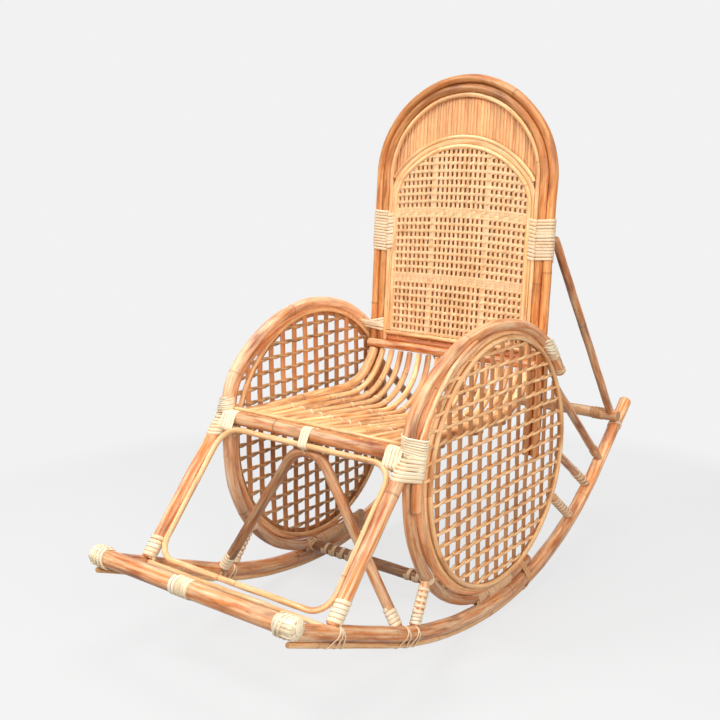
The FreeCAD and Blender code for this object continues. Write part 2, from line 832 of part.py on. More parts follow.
def seat_height(x, y):
    """Height of a seat cane's middle line."""
    centre, _ = seat_bend_centre(x, seat_cane_r)
    start = (seat_front_y, seat_front_z)
    touch = tangent_point(start, centre, seat_bend)
    if y > touch[0]:
        return centre[1] - math.sqrt(seat_bend ** 2 - (y - centre[0]) ** 2)
    return start[1] + (touch[1] - start[1]) * (y - start[0]) / (touch[0] - start[0])


def seat_places():
    """Places of the seat canes across the seat."""
    return [(step - (seat_cane_count - 1) / 2) * seat_pitch for step in range(seat_cane_count)]


def make_seat():
    """Canes, side rails, supports under them and the ties that hold them down."""
    canes = [tube(seat_path(x, seat_cane_r), seat_cane_r) for x in seat_places()]
    pieces["seat_canes"] = Part.makeCompound(canes)
    rails = []
    for name, side in sides:
        edges = seat_path(side * side_rail_x, side_rail_r)
        pieces["seat_side_rail_" + name] = cope(tube(edges, side_rail_r), corner_room(side))
        rails.append(tube(edges, side_rail_r + gap))
    drop = seat_cane_r + support_r + 2 * gap
    supports = []
    for y in support_ys:
        ends = [V(x, y, seat_height(x, y) - drop) for x in (-side_rail_x, 0, side_rail_x)]
        supports.append(cope(tube([Part.Arc(*ends).toShape()], support_r), *rails))
    pieces["seat_supports"] = Part.makeCompound(supports)
    pieces["seat_ties"] = Part.makeCompound(seat_ties())


def seat_ties():
    """Half loops of split cane over each seat cane, above each support."""
    ties = []
    inner = seat_cane_r + gap
    for y in support_ys:
        for x in seat_places():
            middle = V(x, y, seat_height(x, y))
            rise = seat_height(x, y + tie_width) - seat_height(x, y - tie_width)
            reach = V(0, 2 * tie_width, rise).normalize() * (tie_width / 2)
            ends = (middle - reach, middle + reach)
            loop = rod(*ends, inner + tie_thick).cut(rod(*ends, inner))
            corner = V(x - 20, y - tie_width, middle.z)
            ties.append(loop.common(Part.makeBox(40, 2 * tie_width, 20, corner)))
    return ties


def along(ends, first, last):
    """Two points at distances from the first end of a line."""
    heading = (ends[1] - ends[0]).normalize()
    return ends[0] + heading * first, ends[0] + heading * last


def cross_sleeve(middle, first, last, radius, thick=sleeve_thick):
    """Band round a pole that runs across the chair."""
    return sleeve(V(first, middle.y, middle.z), V(last, middle.y, middle.z), radius, thick)


def make_windings():
    """Split cane wound round the poles at the seat corners and at the middle of the back."""
    for name, side in sides:
        low = V(side * corner_x, *corner_low)
        high = V(side * corner_x, *corner_high)
        pieces["corner_binding_" + name] = winding(low, high, V(1, 0, 0), corner_flat, corner_radius, corner_turns)
        x = side * (back_binding_in + back_half + back_pole_r) / 2
        low = back_point(x, back_binding_w)
        high = back_point(x, back_binding_w + back_binding_pitch * back_binding_turns)
        flat = (back_half - back_pole_r - back_binding_in) / 2
        radius = back_pole_r + wire_r + gap
        pieces["back_binding_" + name] = winding(low, high, V(1, 0, 0), flat, radius, back_binding_turns)


def make_bands():
    """Plain bands of binding at the smaller joints."""
    bar = V(0, bar_y, bar_z)
    bands = [cross_sleeve(bar, *bar_wrap, bar_r)]
    for _, side in sides:
        ends = sorted((side * bar_half, side * (bar_half - bar_end_wrap)))
        strip = wear_strip_room(side)
        bands.append(cope(cross_sleeve(bar, *ends, bar_r), rocker_room(side), strip))
    pieces["bar_bindings"] = Part.makeCompound(bands)

    bands = []
    for _, side in sides:
        bands.append(sleeve(*along(post_ends(side), *post_wrap), post_r, thin_sleeve))
    for leg in (brace_edges()[0], brace_edges()[2]):
        low, high = sorted((leg.Vertexes[0].Point, leg.Vertexes[1].Point), key=lambda point: point.z)
        bands.append(sleeve(*along((low, high), *brace_wrap), brace_r))
    pieces["foot_bindings"] = Part.makeCompound(bands)

    bands = []
    for _, side in sides:
        bands += [sleeve(*along(spacer_ends(side), at, at + spacer_wrap_width), spacer_r) for at in spacer_wraps]
        for ends, (first, last) in zip(strut_ends(side), strut_wrap_ends):
            length = (ends[1] - ends[0]).Length
            bands.append(sleeve(*along(ends, first * length, last * length), strut_r))
        ends = sorted((side * crossbar_wrap[0], side * crossbar_wrap[1]))
        bands.append(cross_sleeve(crossbar_middle(), *ends, crossbar_r))
    pieces["strut_wraps"] = Part.makeCompound(bands)

    pieces["arm_bindings"] = Part.makeCompound([arm_band(side) for _, side in sides])

    rail = V(0, rail_y, rail_z)
    behind = Part.makeBox(1000, 200, 200, V(-500, rail_y + rail_r / 2, rail_z - 100))
    bands = [cope(cross_sleeve(rail, x - rail_tie_half, x + rail_tie_half, rail_r), behind) for x in rail_tie_places]
    bands.append(cross_sleeve(V(0, *loop_high), -apex_tie_half, apex_tie_half, thin_r, thin_sleeve))
    pieces["rail_ties"] = Part.makeCompound(bands)

    middle = V(0, stretcher_y, stretcher_z)
    wide = stretcher_wrap_half
    bands = [cross_sleeve(middle, x - wide, x + wide, stretcher_r) for x in stretcher_wrap_places]
    pieces["stretcher_wraps"] = Part.makeCompound(bands)
    pieces["rocker_lashings"] = Part.makeCompound([rocker_lashing(side) for _, side in sides])


def wear_strip_room(side):
    """Space that a wear strip takes, with the fit round it."""
    edges = rocker_edges(side * rocker_x, rocker_r + strip_r + gap, 400, strip_rear_turn, 0)
    return tube(edges, strip_r + gap)


def arm_band(side):
    """Band round the arm just behind the back's upright."""
    x = side * hoop_x
    first, last = arm_wrap_angles
    arc = side_arc(x, arm_centre, arm_radius, first, last)
    arc.rotate(V(x, hoop_front_y(), 0), V(0, 0, 1), -side * arm_flare)
    inner = hoop_r + gap / 3
    band = tube([arc], inner + sleeve_thick).cut(tube([arc], inner))
    return cope(band, ring_room(side))


def rocker_lashing(side):
    """Band that ties the tail of the hoop down on the rocker, wear strip and all."""
    first, last = [rocker_point(side * rocker_x, turn) for turn in lashing_turns]
    rise = math.sqrt((rocker_r + hoop_r + gap) ** 2 - (rocker_x - hoop_x) ** 2)
    turn = math.radians(sum(lashing_turns) / 2)
    up = V(0, -math.sin(turn), math.cos(turn))
    top = up * rise + V(side * lashing_lean[0], 0, 0)
    low = up * -2 * strip_r + V(side * lashing_lean[1], 0, 0)
    inner = oval(first, last, low, top, lashing_r)
    return oval(first, last, low, top, lashing_r + sleeve_thick).cut(inner)


def oval(first, last, low, top, radius):
    """Solid with round ends about two lines side by side."""
    across = (top - low).cross(last - first).normalize() * radius
    corners = [first + low - across, first + low + across, first + top + across, first + top - across]
    middle = Part.Face(Part.makePolygon(corners + corners[:1])).extrude(last - first)
    return middle.fuse([rod(first + low, last + low, radius), rod(first + top, last + top, radius)]).removeSplitter()


make_rockers()
make_hoops()
make_front()
make_back()
make_stays()
make_seat()
make_windings()
make_bands()

os.makedirs("parts", exist_ok=True)
for name, shape in pieces.items():
    if not shape.isValid():
        print("not valid", name)
    shape.exportStep("parts/%s.step" % name)
print(len(pieces), "nodes")
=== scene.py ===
# %% [markdown]
# A cane rocking chair has no joints that turn and no two pieces quite alike: it is bent rattan poles,
# thinner canes, and strips of split cane that bind them where they meet. The packed model gives every piece
# its place. Here each one is drawn again with what a plain round pole lacks, such as knuckles, a slight
# sway, grain and wound strips.

# %% The frame that everything is built around
import bpy
import numpy as np
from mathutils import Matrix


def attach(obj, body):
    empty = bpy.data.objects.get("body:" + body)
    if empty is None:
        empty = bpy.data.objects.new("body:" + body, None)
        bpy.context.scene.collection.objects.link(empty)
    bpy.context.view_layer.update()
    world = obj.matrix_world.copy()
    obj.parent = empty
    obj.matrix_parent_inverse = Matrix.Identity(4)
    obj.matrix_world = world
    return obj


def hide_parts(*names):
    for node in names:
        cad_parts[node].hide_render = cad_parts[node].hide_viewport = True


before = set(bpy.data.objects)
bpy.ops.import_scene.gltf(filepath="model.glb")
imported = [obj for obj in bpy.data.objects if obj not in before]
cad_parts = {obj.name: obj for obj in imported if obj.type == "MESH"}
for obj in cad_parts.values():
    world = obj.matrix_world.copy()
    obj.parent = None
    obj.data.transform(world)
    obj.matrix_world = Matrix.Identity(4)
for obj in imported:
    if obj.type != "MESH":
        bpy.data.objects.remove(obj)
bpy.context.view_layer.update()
MM = 0.001
rng = np.random.default_rng(21)
sides = (("left", -1), ("right", 1))
print("nodes in the frame", len(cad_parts))

# %% [markdown]
# Every pole is bent from straight runs and arcs, so a path is a chain of those. A chain is read again at
# even steps of its own length, because grain, knuckles and wound strips all need to know how far along the
# pole they are. Lengths are in millimetres until a mesh is made.

# %% Paths of lines and arcs
X = np.array([1.0, 0.0, 0.0])
Y = np.array([0.0, 1.0, 0.0])
Z = np.array([0.0, 0.0, 1.0])
ARC_STEP = 1.5
PATH_STEP = 3.0


def unit(vectors):
    """Vectors divided by their own lengths."""
    vectors = np.asarray(vectors, float)
    return vectors / np.linalg.norm(vectors, axis=-1, keepdims=True)


def line(a, b):
    """Straight run, as its two ends."""
    return np.array([a, b], float)


def arc(centre, radius, first, last, across=Y, up=Z):
    """Centre plus radius times (cos t along across, sin t along up), t from first to last in degrees."""
    count = max(int(abs(last - first) / ARC_STEP), 6)
    turn = np.radians(np.linspace(first, last, count + 1))[:, None]
    return np.asarray(centre, float) + radius * (np.cos(turn) * across + np.sin(turn) * up)


def lengths(points):
    """Distance along a path at each of its points."""
    steps = np.linalg.norm(np.diff(points, axis=0), axis=1)
    return np.concatenate([[0.0], np.cumsum(steps)])


def read_at(points, marks, along):
    """Values at distances along a path, read between the marks of its points."""
    columns = [np.interp(along, marks, column) for column in points.T]
    return np.stack(columns, axis=-1)


def chain(*runs, step=PATH_STEP):
    """Runs laid end to end, then read at even steps of length."""
    points = np.concatenate(runs)
    fresh = np.concatenate([[True], np.linalg.norm(np.diff(points, axis=0), axis=1) > 1e-6])
    points = points[fresh]
    marks = lengths(points)
    count = max(int(round(marks[-1] / step)), 2)
    return read_at(points, marks, np.linspace(0.0, marks[-1], count + 1))


def circle_through(a, b, c):
    """Centre and radius of the circle through three points of a plane, from the two upright bisectors."""
    a, b, c = (np.asarray(p, float) for p in (a, b, c))
    rows = 2 * np.array([b - a, c - a])
    centre = np.linalg.solve(rows, np.array([b @ b - a @ a, c @ c - a @ a]))
    return centre, np.linalg.norm(a - centre)


def angle_of(point, centre):
    """Angle of a point about a centre, in degrees."""
    away = np.asarray(point, float) - centre
    return np.degrees(np.arctan2(away[1], away[0]))


print("a straight metre is read at", len(chain(line((0, 0, 0), (1000, 0, 0)))), "points")

# %% [markdown]
# A pole's surface is a closed outline carried along its path, and so is a flat strip's. One function places
# the outline square to the path at every point, and one joins neighbouring outlines with faces and closes
# both ends. Four numbers go with each point for the finish: the piece's tone, a number of its own that
# shifts its grain, where a knuckle or a stain is, and what is cut end.

# %% Surfaces carried along a path
def section_axes(points, side):
    """Heading along the path, side made square to it, and the direction square to both."""
    heading = unit(np.gradient(points, axis=0))
    across = unit(side - heading * np.sum(heading * side, axis=-1, keepdims=True))
    return heading, across, np.cross(heading, across)


def carried(points, outline, across, up):
    """Each path point plus the outline's first number along across and its second along up."""
    return points[:, None] + outline[..., :1] * across[:, None] + outline[..., 1:] * up[:, None]


FACE_CORNERS = ((0, 0), (0, 1), (1, 1), (1, 0))


def ring_faces(count, around):
    """Corners of each face between neighbouring closed outlines, with the face's row and column."""
    row, column = np.meshgrid(np.arange(count - 1), np.arange(around), indexing="ij")
    corners = [(row + ahead) * around + (column + over) % around for ahead, over in FACE_CORNERS]
    return row, column, np.stack(corners, -1)


def skin(rows, along, tone=0.0, ring=0.0):
    """Four-sided faces between neighbouring closed outlines, with a fan of triangles over each end."""
    count, around = rows.shape[:2]
    row, column, quads = ring_faces(count, around)
    step = np.linalg.norm(rows[count // 2] - np.roll(rows[count // 2], -1, axis=0), axis=1)
    girth = np.concatenate([[0.0], np.cumsum(step)])
    corners = [(along[row + ahead], girth[column + over]) for ahead, over in FACE_CORNERS]
    quad_uv = np.stack([np.stack(corner, -1) for corner in corners], axis=-2)
    j = np.arange(around)
    k = (j + 1) % around
    last = (count - 1) * around
    first_fan = np.stack([np.full(around, count * around), k, j], -1)
    last_fan = np.stack([np.full(around, count * around + 1), last + j, last + k], -1)
    tris = np.concatenate([first_fan, last_fan])
    verts = np.concatenate([rows.reshape(-1, 3), [rows[0].mean(axis=0), rows[-1].mean(axis=0)]])
    cut = np.zeros((count, around))
    cut[[0, -1]] = 1.0
    rings = np.broadcast_to(np.asarray(ring, float).reshape(-1, 1), (count, around)).ravel()
    return {
        "verts": verts,
        "quads": quads.reshape(-1, 4),
        "tris": tris,
        "quad_uv": quad_uv.reshape(-1, 4, 2),
        "tri_uv": np.broadcast_to(np.array([[0.0, 0.0], [1.0, 0.0], [0.5, 1.0]]), (2 * around, 3, 2)),
        "tone": np.full(len(verts), tone),
        "seed": np.full(len(verts), rng.uniform(0.0, 50.0)),
        "ring": np.concatenate([rings, [0.0, 0.0]]),
        "cut": np.concatenate([cut.ravel(), [1.0, 1.0]]),
    }


upright_axes = section_axes(line((0, 0, 0), (0, 0, 1)), X)
print("across and up on an upright path", upright_axes[1][0], upright_axes[2][0])

# %% [markdown]
# A mesh in Blender is a few long lists: where the points are, which points each face joins, and what each
# point or corner carries. Whole arrays fill those lists at once. The finished object stays at the origin
# and takes the place of a node of the frame, so the chair can be taken apart piece by piece.

# %% Meshes in place of the nodes
POINT_FACTS = ("tone", "seed", "ring", "cut")


def make_object(name, skins, material):
    """One object at the origin from several skins, filled in as whole arrays and shown in metres."""
    starts = np.cumsum([0] + [len(part["verts"]) for part in skins[:-1]])
    verts = np.concatenate([part["verts"] for part in skins]) * MM
    quads = np.concatenate([part["quads"] + start for part, start in zip(skins, starts)])
    tris = np.concatenate([part["tris"] + start for part, start in zip(skins, starts)])
    loops = np.concatenate([quads.ravel(), tris.ravel()])
    totals = np.concatenate([np.full(len(quads), 4), np.full(len(tris), 3)])
    mesh = bpy.data.meshes.new(name)
    mesh.vertices.add(len(verts))
    mesh.vertices.foreach_set("co", verts.astype(np.float32).ravel())
    mesh.loops.add(len(loops))
    mesh.loops.foreach_set("vertex_index", loops.astype(np.int32))
    mesh.polygons.add(len(totals))
    mesh.polygons.foreach_set("loop_start", (np.cumsum(totals) - totals).astype(np.int32))
    mesh.polygons.foreach_set("use_smooth", totals == 4)
    uv = np.concatenate([part["quad_uv"].reshape(-1, 2) for part in skins]
                        + [part["tri_uv"].reshape(-1, 2) for part in skins]) * MM
    mesh.uv_layers.new(name="lay").data.foreach_set("uv", uv.astype(np.float32).ravel())
    for fact in POINT_FACTS:
        values = np.concatenate([part[fact] for part in skins]).astype(np.float32)
        mesh.attributes.new(fact, "FLOAT", "POINT").data.foreach_set("value", values)
    mesh.update(calc_edges=True)
    mesh.validate()
    mesh.materials.append(material)
    piece = bpy.data.objects.new(name, mesh)
    bpy.context.scene.collection.objects.link(piece)
    return piece


made = {}


def dress(node, skins, material):
    """Show skins in place of a node of the frame, riding on the chair, with the finish that is given."""
    piece = make_object(node + "_look", skins, material)
    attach(piece, "root")
    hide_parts(node)
    made[piece.name] = len(piece.data.polygons)


print("each point carries", POINT_FACTS)

# %% [markdown]
# Rattan grows in joints, like bamboo but solid. Each joint leaves a knuckle: a low ridge with a dark line,
# a hand or two apart. The pole also swells and sways a little. A pole here is a circle carried along the
# path with a radius that changes by sines for the swelling and by a narrow bell at each knuckle. Both ends
# are eased by a smaller first ring.

# %% Rattan poles
KNUCKLE_GAP = (200.0, 440.0)
KNUCKLE_WIDE = 3.0
KNUCKLE_RISE = 0.05
SWELL = 0.016
SWAY = 0.5
END_EASE = 0.88
END_HELD = 40.0
TONE_SPREAD = 0.05


def circle(turn):
    """Points of the unit circle: the cosine and the sine of each angle."""
    return np.stack([np.cos(turn), np.sin(turn)], -1)


def knuckles(along):
    """Bell curves at uneven gaps along a pole, each of its own height, the highest counting."""
    count = int(along[-1] / KNUCKLE_GAP[0]) + 2
    places = np.cumsum(rng.uniform(*KNUCKLE_GAP, count)) - rng.uniform(40.0, 200.0)
    heights = rng.uniform(0.3, 1.0, count)
    return (heights * np.exp(-((along[:, None] - places) / KNUCKLE_WIDE) ** 2)).max(axis=1)


def waves(along, size):
    """Sum of two sines of random phase along a pole."""
    first, second = rng.uniform(0.0, 2 * np.pi, 2)
    return size * (0.6 * np.sin(along / 47.0 + first) + 0.4 * np.sin(along / 17.0 + second))


def pole(points, radius, side=X, tone=0.0, around=20, sway=SWAY):
    """Circle carried along a path, its radius swelling by sines and rising in a bell at each knuckle."""
    along = lengths(points)
    ring = knuckles(along)
    _, across, up = section_axes(points, side)
    held = np.clip(np.minimum(along, along[-1] - along) / END_HELD, 0.0, 1.0)[:, None]
    points = points + held * (waves(along, sway)[:, None] * across + waves(along, sway)[:, None] * up)
    size = radius * (1.0 + waves(along, SWELL) + KNUCKLE_RISE * ring)
    size[[0, -1]] *= END_EASE
    outline = circle(np.linspace(0.0, 2 * np.pi, around, endpoint=False))
    rows = carried(points, outline * np.reshape(size, (-1, 1, 1)), across, up)
    return skin(rows, along, tone + rng.normal(0.0, TONE_SPREAD), ring)


def shaded(skin_rows, axis, start, over, change):
    """A skin's tone changed evenly along an axis, from nothing at start to all so far over: painted light and
    shade.
    """
    share = np.clip((skin_rows["verts"][:, axis] - start) / over, 0.0, 1.0)
    skin_rows["tone"] = skin_rows["tone"] + change * share
    return skin_rows


print("knuckles come every", KNUCKLE_GAP, "mm")

# %% [markdown]
# A finish is a small tree of nodes. The colours are given as ordinary screen values, turned into the
# linear ones that a shader needs. A small class adds and joins nodes, so that a finish reads as a few
# lines, and the floor and the sky can use it too.

# %% Nodes of a finish
def paint(red, green, blue):
    """Screen colour from 0 to 255 as linear light, with alpha."""
    screen = np.array([red, green, blue]) / 255.0
    linear = np.where(screen <= 0.04045, screen / 12.92, ((screen + 0.055) / 1.055) ** 2.4)
    return (*linear.tolist(), 1.0)


class Nodes:
    """A tree of nodes with a few short ways to add and join them."""

    def __init__(self, tree):
        self.tree = tree

    def add(self, kind, **settings):
        """A node of that kind with its settings."""
        node = self.tree.nodes.new(kind)
        for key, value in settings.items():
            setattr(node, key, value)
        return node

    def join(self, source, target):
        """A link from an output to an input."""
        self.tree.links.new(source, target)

    def sums(self, operation, *values, clamp=False):
        """Arithmetic on two or three values, each a link or a number."""
        node = self.add("ShaderNodeMath", operation=operation, use_clamp=clamp)
        for socket, value in zip(node.inputs, values):
            if isinstance(value, (int, float)):
                socket.default_value = value
            else:
                self.join(value, socket)
        return node.outputs[0]

    def blend(self, share, first, second):
        """Two shaders mixed by a share."""
        node = self.add("ShaderNodeMixShader")
        for source, target in zip((share, first, second), node.inputs):
            self.join(source, target)
        return node.outputs[0]

    def seen(self):
        """One for a ray of the camera, a reflection or a see-through surface, nothing for plain light."""
        rays = self.add("ShaderNodeLightPath").outputs
        mirrored = self.sums("ADD", rays["Is Glossy Ray"], rays["Is Transmission Ray"])
        return self.sums("ADD", rays["Is Camera Ray"], mirrored, clamp=True)


print("a middle grey of the screen is", round(paint(128, 128, 128)[0], 3), "in linear light")

# %% [markdown]
# Noise that is stretched along a piece reads the piece's own map, so the grain follows every bend. Each
# piece has a number of its own that moves it to another part of the noise, or all poles would look alike.
# Noise in space gives the larger stains, which run across pieces that lie side by side.

# %% Layers of a finish
class Finish(Nodes):
    """A material with the layers that cane needs."""

    def __init__(self, name):
        self.material = bpy.data.materials.new(name)
        self.material.use_nodes = True
        super().__init__(self.material.node_tree)
        self.shader = self.tree.nodes["Principled BSDF"]

    def fact(self, name):
        """A number that each point of the mesh carries."""
        return self.add("ShaderNodeAttribute", attribute_name=name).outputs["Fac"]

    def span(self, value, low, high):
        """A value moved from low..high to 0..1 and held there."""
        node = self.add("ShaderNodeMapRange")
        node.inputs["From Min"].default_value = low
        node.inputs["From Max"].default_value = high
        self.join(value, node.inputs["Value"])
        return node.outputs["Result"]

    def mix(self, share, first, second):
        """Two colours mixed by a share, each a link or a colour."""
        node = self.add("ShaderNodeMix", data_type="RGBA")
        self.join(share, node.inputs["Factor"])
        for socket, value in ((node.inputs[6], first), (node.inputs[7], second)):
            if isinstance(value, tuple):
                socket.default_value = value
            else:
                self.join(value, socket)
        return node.outputs[2]

    def over(self, colour, noise, low, high, share, dark):
        """A colour darkened by part of a share where noise passes from low to high."""
        return self.mix(self.sums("MULTIPLY", self.span(noise, low, high), share), colour, dark)

    def laid_noise(self, along, across, detail=3.0):
        """Noise stretched along the piece: so many lumps per metre along and across, new for each pole."""
        lay = self.add("ShaderNodeUVMap", uv_map="lay")
        parts = self.add("ShaderNodeSeparateXYZ")
        self.join(lay.outputs[0], parts.inputs[0])
        place = self.add("ShaderNodeCombineXYZ")
        self.join(self.sums("MULTIPLY", parts.outputs["X"], along), place.inputs["X"])
        self.join(self.sums("MULTIPLY", parts.outputs["Y"], across), place.inputs["Y"])
        self.join(self.fact("seed"), place.inputs["Z"])
        noise = self.add("ShaderNodeTexNoise")
        noise.inputs["Scale"].default_value = 1.0
        noise.inputs["Detail"].default_value = detail
        self.join(place.outputs[0], noise.inputs["Vector"])
        return noise.outputs["Fac"]

    def stain_noise(self, scale, detail=4.0):
        """Noise in the chair's own space, so many lumps per metre."""
        where = self.add("ShaderNodeTexCoord")
        noise = self.add("ShaderNodeTexNoise")
        noise.inputs["Scale"].default_value = scale
        noise.inputs["Detail"].default_value = detail
        self.join(where.outputs["Object"], noise.inputs["Vector"])
        return noise.outputs["Fac"]

    def toned(self, colour):
        """Colour made lighter or darker by the piece's own tone."""
        node = self.add("ShaderNodeHueSaturation")
        self.join(self.sums("ADD", self.fact("tone"), 1.0), node.inputs["Value"])
        self.join(colour, node.inputs["Color"])
        return node.outputs[0]

    def finish(self, colour, rough, height, bump, depth):
        """Colour, roughness and a raised grain joined to the shader."""
        self.join(colour, self.shader.inputs["Base Color"])
        self.join(rough, self.shader.inputs["Roughness"])
        relief = self.add("ShaderNodeBump")
        relief.inputs["Strength"].default_value = bump
        relief.inputs["Distance"].default_value = depth
        self.join(height, relief.inputs["Height"])
        self.join(relief.outputs[0], self.shader.inputs["Normal"])
        return self.material


print("ways to layer a finish", [name for name in vars(Finish) if not name.startswith("_")])

# %% [markdown]
# Varnished cane has long soft streaks, darker patches and flecks, a dark line at each knuckle and a paler
# cut end. The varnish is thin, so the coat is weak and not very sharp. The poles, the thin canes, the seat
# and the reeds differ in colour and in how fine the streaks are.

# %% Varnished cane
KNUCKLE_LINE = paint(110, 54, 22)
CUT_PALE, CUT_DARK = paint(226, 178, 124), paint(156, 98, 54)


def rattan(name, pale, body, dark, patches=0.75, streaks=(11.0, 150.0)):
    """Soft streaks from pale to body, dark patches and flecks, knuckle lines and a paler cut end."""
    cane = Finish(name)
    streak = cane.laid_noise(*streaks)
    patch = cane.laid_noise(9.0, 42.0, 4.0)
    fleck = cane.laid_noise(42.0, 260.0, 3.0)
    fine = cane.laid_noise(30.0, 1300.0, 2.0)
    colour = cane.mix(cane.span(streak, 0.34, 0.64), pale, body)
    colour = cane.over(colour, patch, 0.50, 0.72, patches, dark)
    colour = cane.over(colour, fleck, 0.54, 0.74, 0.45, dark)
    colour = cane.over(colour, fine, 0.55, 0.80, 0.3, dark)
    colour = cane.toned(cane.over(colour, cane.fact("ring"), 0.25, 1.0, 0.6, KNUCKLE_LINE))
    end = cane.mix(cane.span(cane.stain_noise(900.0, 1.0), 0.40, 0.62), CUT_PALE, CUT_DARK)
    colour = cane.mix(cane.span(cane.fact("cut"), 0.6, 1.0), colour, end)
    cane.shader.inputs["Coat Weight"].default_value = 0.16
    cane.shader.inputs["Coat Roughness"].default_value = 0.32
    cane.shader.inputs["Specular IOR Level"].default_value = 0.35
    return cane.finish(colour, cane.sums("MULTIPLY_ADD", streak, 0.22, 0.32), fine, 0.35, 0.0006)


POLE = rattan("rattan_pole", paint(252, 210, 164), paint(226, 136, 68), paint(130, 52, 16), 0.85)
# Painted light: a paler copy of the pole finish for the left hoop, the side that the key lamp faces.
KEY_LIT_POLE = rattan("rattan_pole_painted_lit", paint(254, 220, 184), paint(230, 158, 104), paint(136, 60, 24), 0.85)
BACK_POLE = rattan("rattan_pole_of_the_back", paint(246, 180, 114), paint(220, 130, 60),
                   paint(132, 54, 16), 0.9)
THIN = rattan("thin_cane", paint(252, 214, 164), paint(238, 176, 112), paint(164, 88, 38), 0.6, (12.0, 320.0))
SEAT = rattan("seat_cane", paint(255, 222, 170), paint(244, 176, 110), paint(156, 78, 30), 0.85,
              (12.0, 260.0))
REED = rattan("reed", paint(244, 192, 138), paint(230, 164, 106), paint(174, 98, 48), 0.5, (5.0, 500.0))
RED = rattan("red_pole", paint(216, 134, 82), paint(196, 108, 60), paint(120, 54, 28))
print("varnished finishes", len(bpy.data.materials))

# %% [markdown]
# Split cane is cut flat from the outside of a cane and left bare. It is paler and duller than a pole, with
# fine fibres along the strip. Old stain lies where the mesh says so, by a share that is the same along one
# strip.

# %% Split cane
def split_cane(name, pale, body, dark, stained, fibres=0.5):
    """Fine fibres along the strip, some lengths darker, blotches, and stain by the strip's own share."""
    strip = Finish(name)
    fibre = strip.laid_noise(14.0, 1900.0, 3.0)
    length = strip.laid_noise(6.0, 40.0, 2.0)
    colour = strip.mix(strip.span(length, 0.36, 0.66), pale, body)
    colour = strip.over(colour, fibre, 0.48, 0.78, fibres, dark)
    colour = strip.over(colour, strip.stain_noise(30.0), 0.56, 0.78, 0.5, dark)
    colour = strip.toned(strip.mix(strip.fact("ring"), colour, stained))
    strip.shader.inputs["Specular IOR Level"].default_value = 0.3
    return strip.finish(colour, strip.sums("MULTIPLY_ADD", fibre, 0.2, 0.42), fibre, 0.4, 0.0004)


BINDING = split_cane("split_cane_binding", paint(255, 241, 212), paint(246, 222, 182), paint(178, 128, 76),
                     paint(208, 142, 84), 0.6)
WEAVE = split_cane("woven_split_cane", paint(248, 208, 164), paint(234, 186, 132), paint(174, 116, 64),
                   paint(206, 140, 86), 0.7)
LATTICE = split_cane("brown_lattice_strip", paint(216, 154, 102), paint(192, 128, 80), paint(124, 72, 38),
                     paint(140, 84, 44))
print("finishes", len(bpy.data.materials))

# %% [markdown]
# The chair rolls on two rockers. Seen from the side each is a straight front, a flatter arc, a tighter arc
# behind and a straight tail. A thin cane under each takes the wear, and it is worn flat where the chair
# stands, so its lowest points are held at the floor. Pieces that lie on each other leave a small fit
# between them.

# %% Rockers and wear strips
ROCKER_X, ROCKER_R, STRIP_R = 248.0, 15.0, 5.5
ROCKER_LOW = 25.8
FRONT_R, FRONT_TURN = 960.0, 22.0
REAR_R, REAR_TURN, TAIL = 730.0, 42.0, 206.0
BAR = np.array([0.0, -632.6, 214.0])
WEAR_EXTRA, WEAR_TURN = 3.0, 35.0
FIT = 0.3


def rocker_path(x, below=0.0, extra=0.0, rear_turn=REAR_TURN, tail=TAIL):
    """Line, arc, arc and line of a rocker, or of a line that far below it."""
    front_centre = np.array([x, 0.0, ROCKER_LOW + FRONT_R])
    rear_centre = np.array([x, 0.0, ROCKER_LOW + REAR_R])
    front = arc(front_centre, FRONT_R + below, -90 - FRONT_TURN, -90)
    rear = arc(rear_centre, REAR_R + below, -90, -90 + rear_turn)
    rise = np.radians(FRONT_TURN)
    run = (-BAR[1] - FRONT_R * np.sin(rise)) / np.cos(rise) + extra
    tip = front[0] + run * np.array([0.0, -np.cos(rise), np.sin(rise)])
    rise = np.radians(rear_turn)
    end = rear[-1] + tail * np.array([0.0, np.cos(rise), np.sin(rise)])
    return chain(line(tip, front[0]), front, rear, line(rear[-1], end))


def rocker_mark(x, turn):
    """Point on a rocker's rear arc, or along its tail past that, by its turn in degrees."""
    centre = np.array([x, 0.0, ROCKER_LOW + REAR_R])
    held = min(turn, REAR_TURN)
    rise = np.radians(held)
    point = centre + REAR_R * np.array([0.0, np.sin(rise), -np.cos(rise)])
    return point + REAR_R * np.radians(turn - held) * np.array([0.0, np.cos(rise), np.sin(rise)])


def rocker_at(x, y):
    """Point on a rocker's middle line at y, read from its path."""
    path = rocker_path(x)
    return np.array([x, y, np.interp(y, path[:, 1], path[:, 2])])


for name, side in sides:
    x = side * ROCKER_X
    # Painted shade: the rocker is a little darker, low by the floor. Painted light: its tail is paler towards
    # the back.
    rocker = pole(rocker_path(x), ROCKER_R, tone=-0.1, around=24)
    dress("rocker_" + name, [shaded(rocker, 1, 250.0, 250.0, 0.4)], POLE)
    under = rocker_path(x, ROCKER_R + STRIP_R + FIT, WEAR_EXTRA, WEAR_TURN, 0.0)
    wear = pole(under, STRIP_R, tone=-0.05, around=14, sway=0.2)
    wear["verts"][:, 2] = np.maximum(wear["verts"][:, 2], 0.0)
    dress("wear_strip_" + name, [wear], THIN)
print("faces of the rockers and strips", made)

# %% [markdown]
# Three straight poles run across the chair: a thick bar in front of the rockers for the feet, a stretcher
# under the hoops, and a bar that lies on the rockers' tails. The last one's place is stepped back along a
# tail and then lifted square to it by both radii.

# %% Poles across the chair
BAR_R, BAR_HALF = 17.0, 262.0
CROSSBAR_R, CROSSBAR_IN = 14.0, 71.0
STRETCHER, STRETCHER_R, STRETCHER_HALF = np.array([0.0, -37.0, 56.0]), 13.0, 234.0

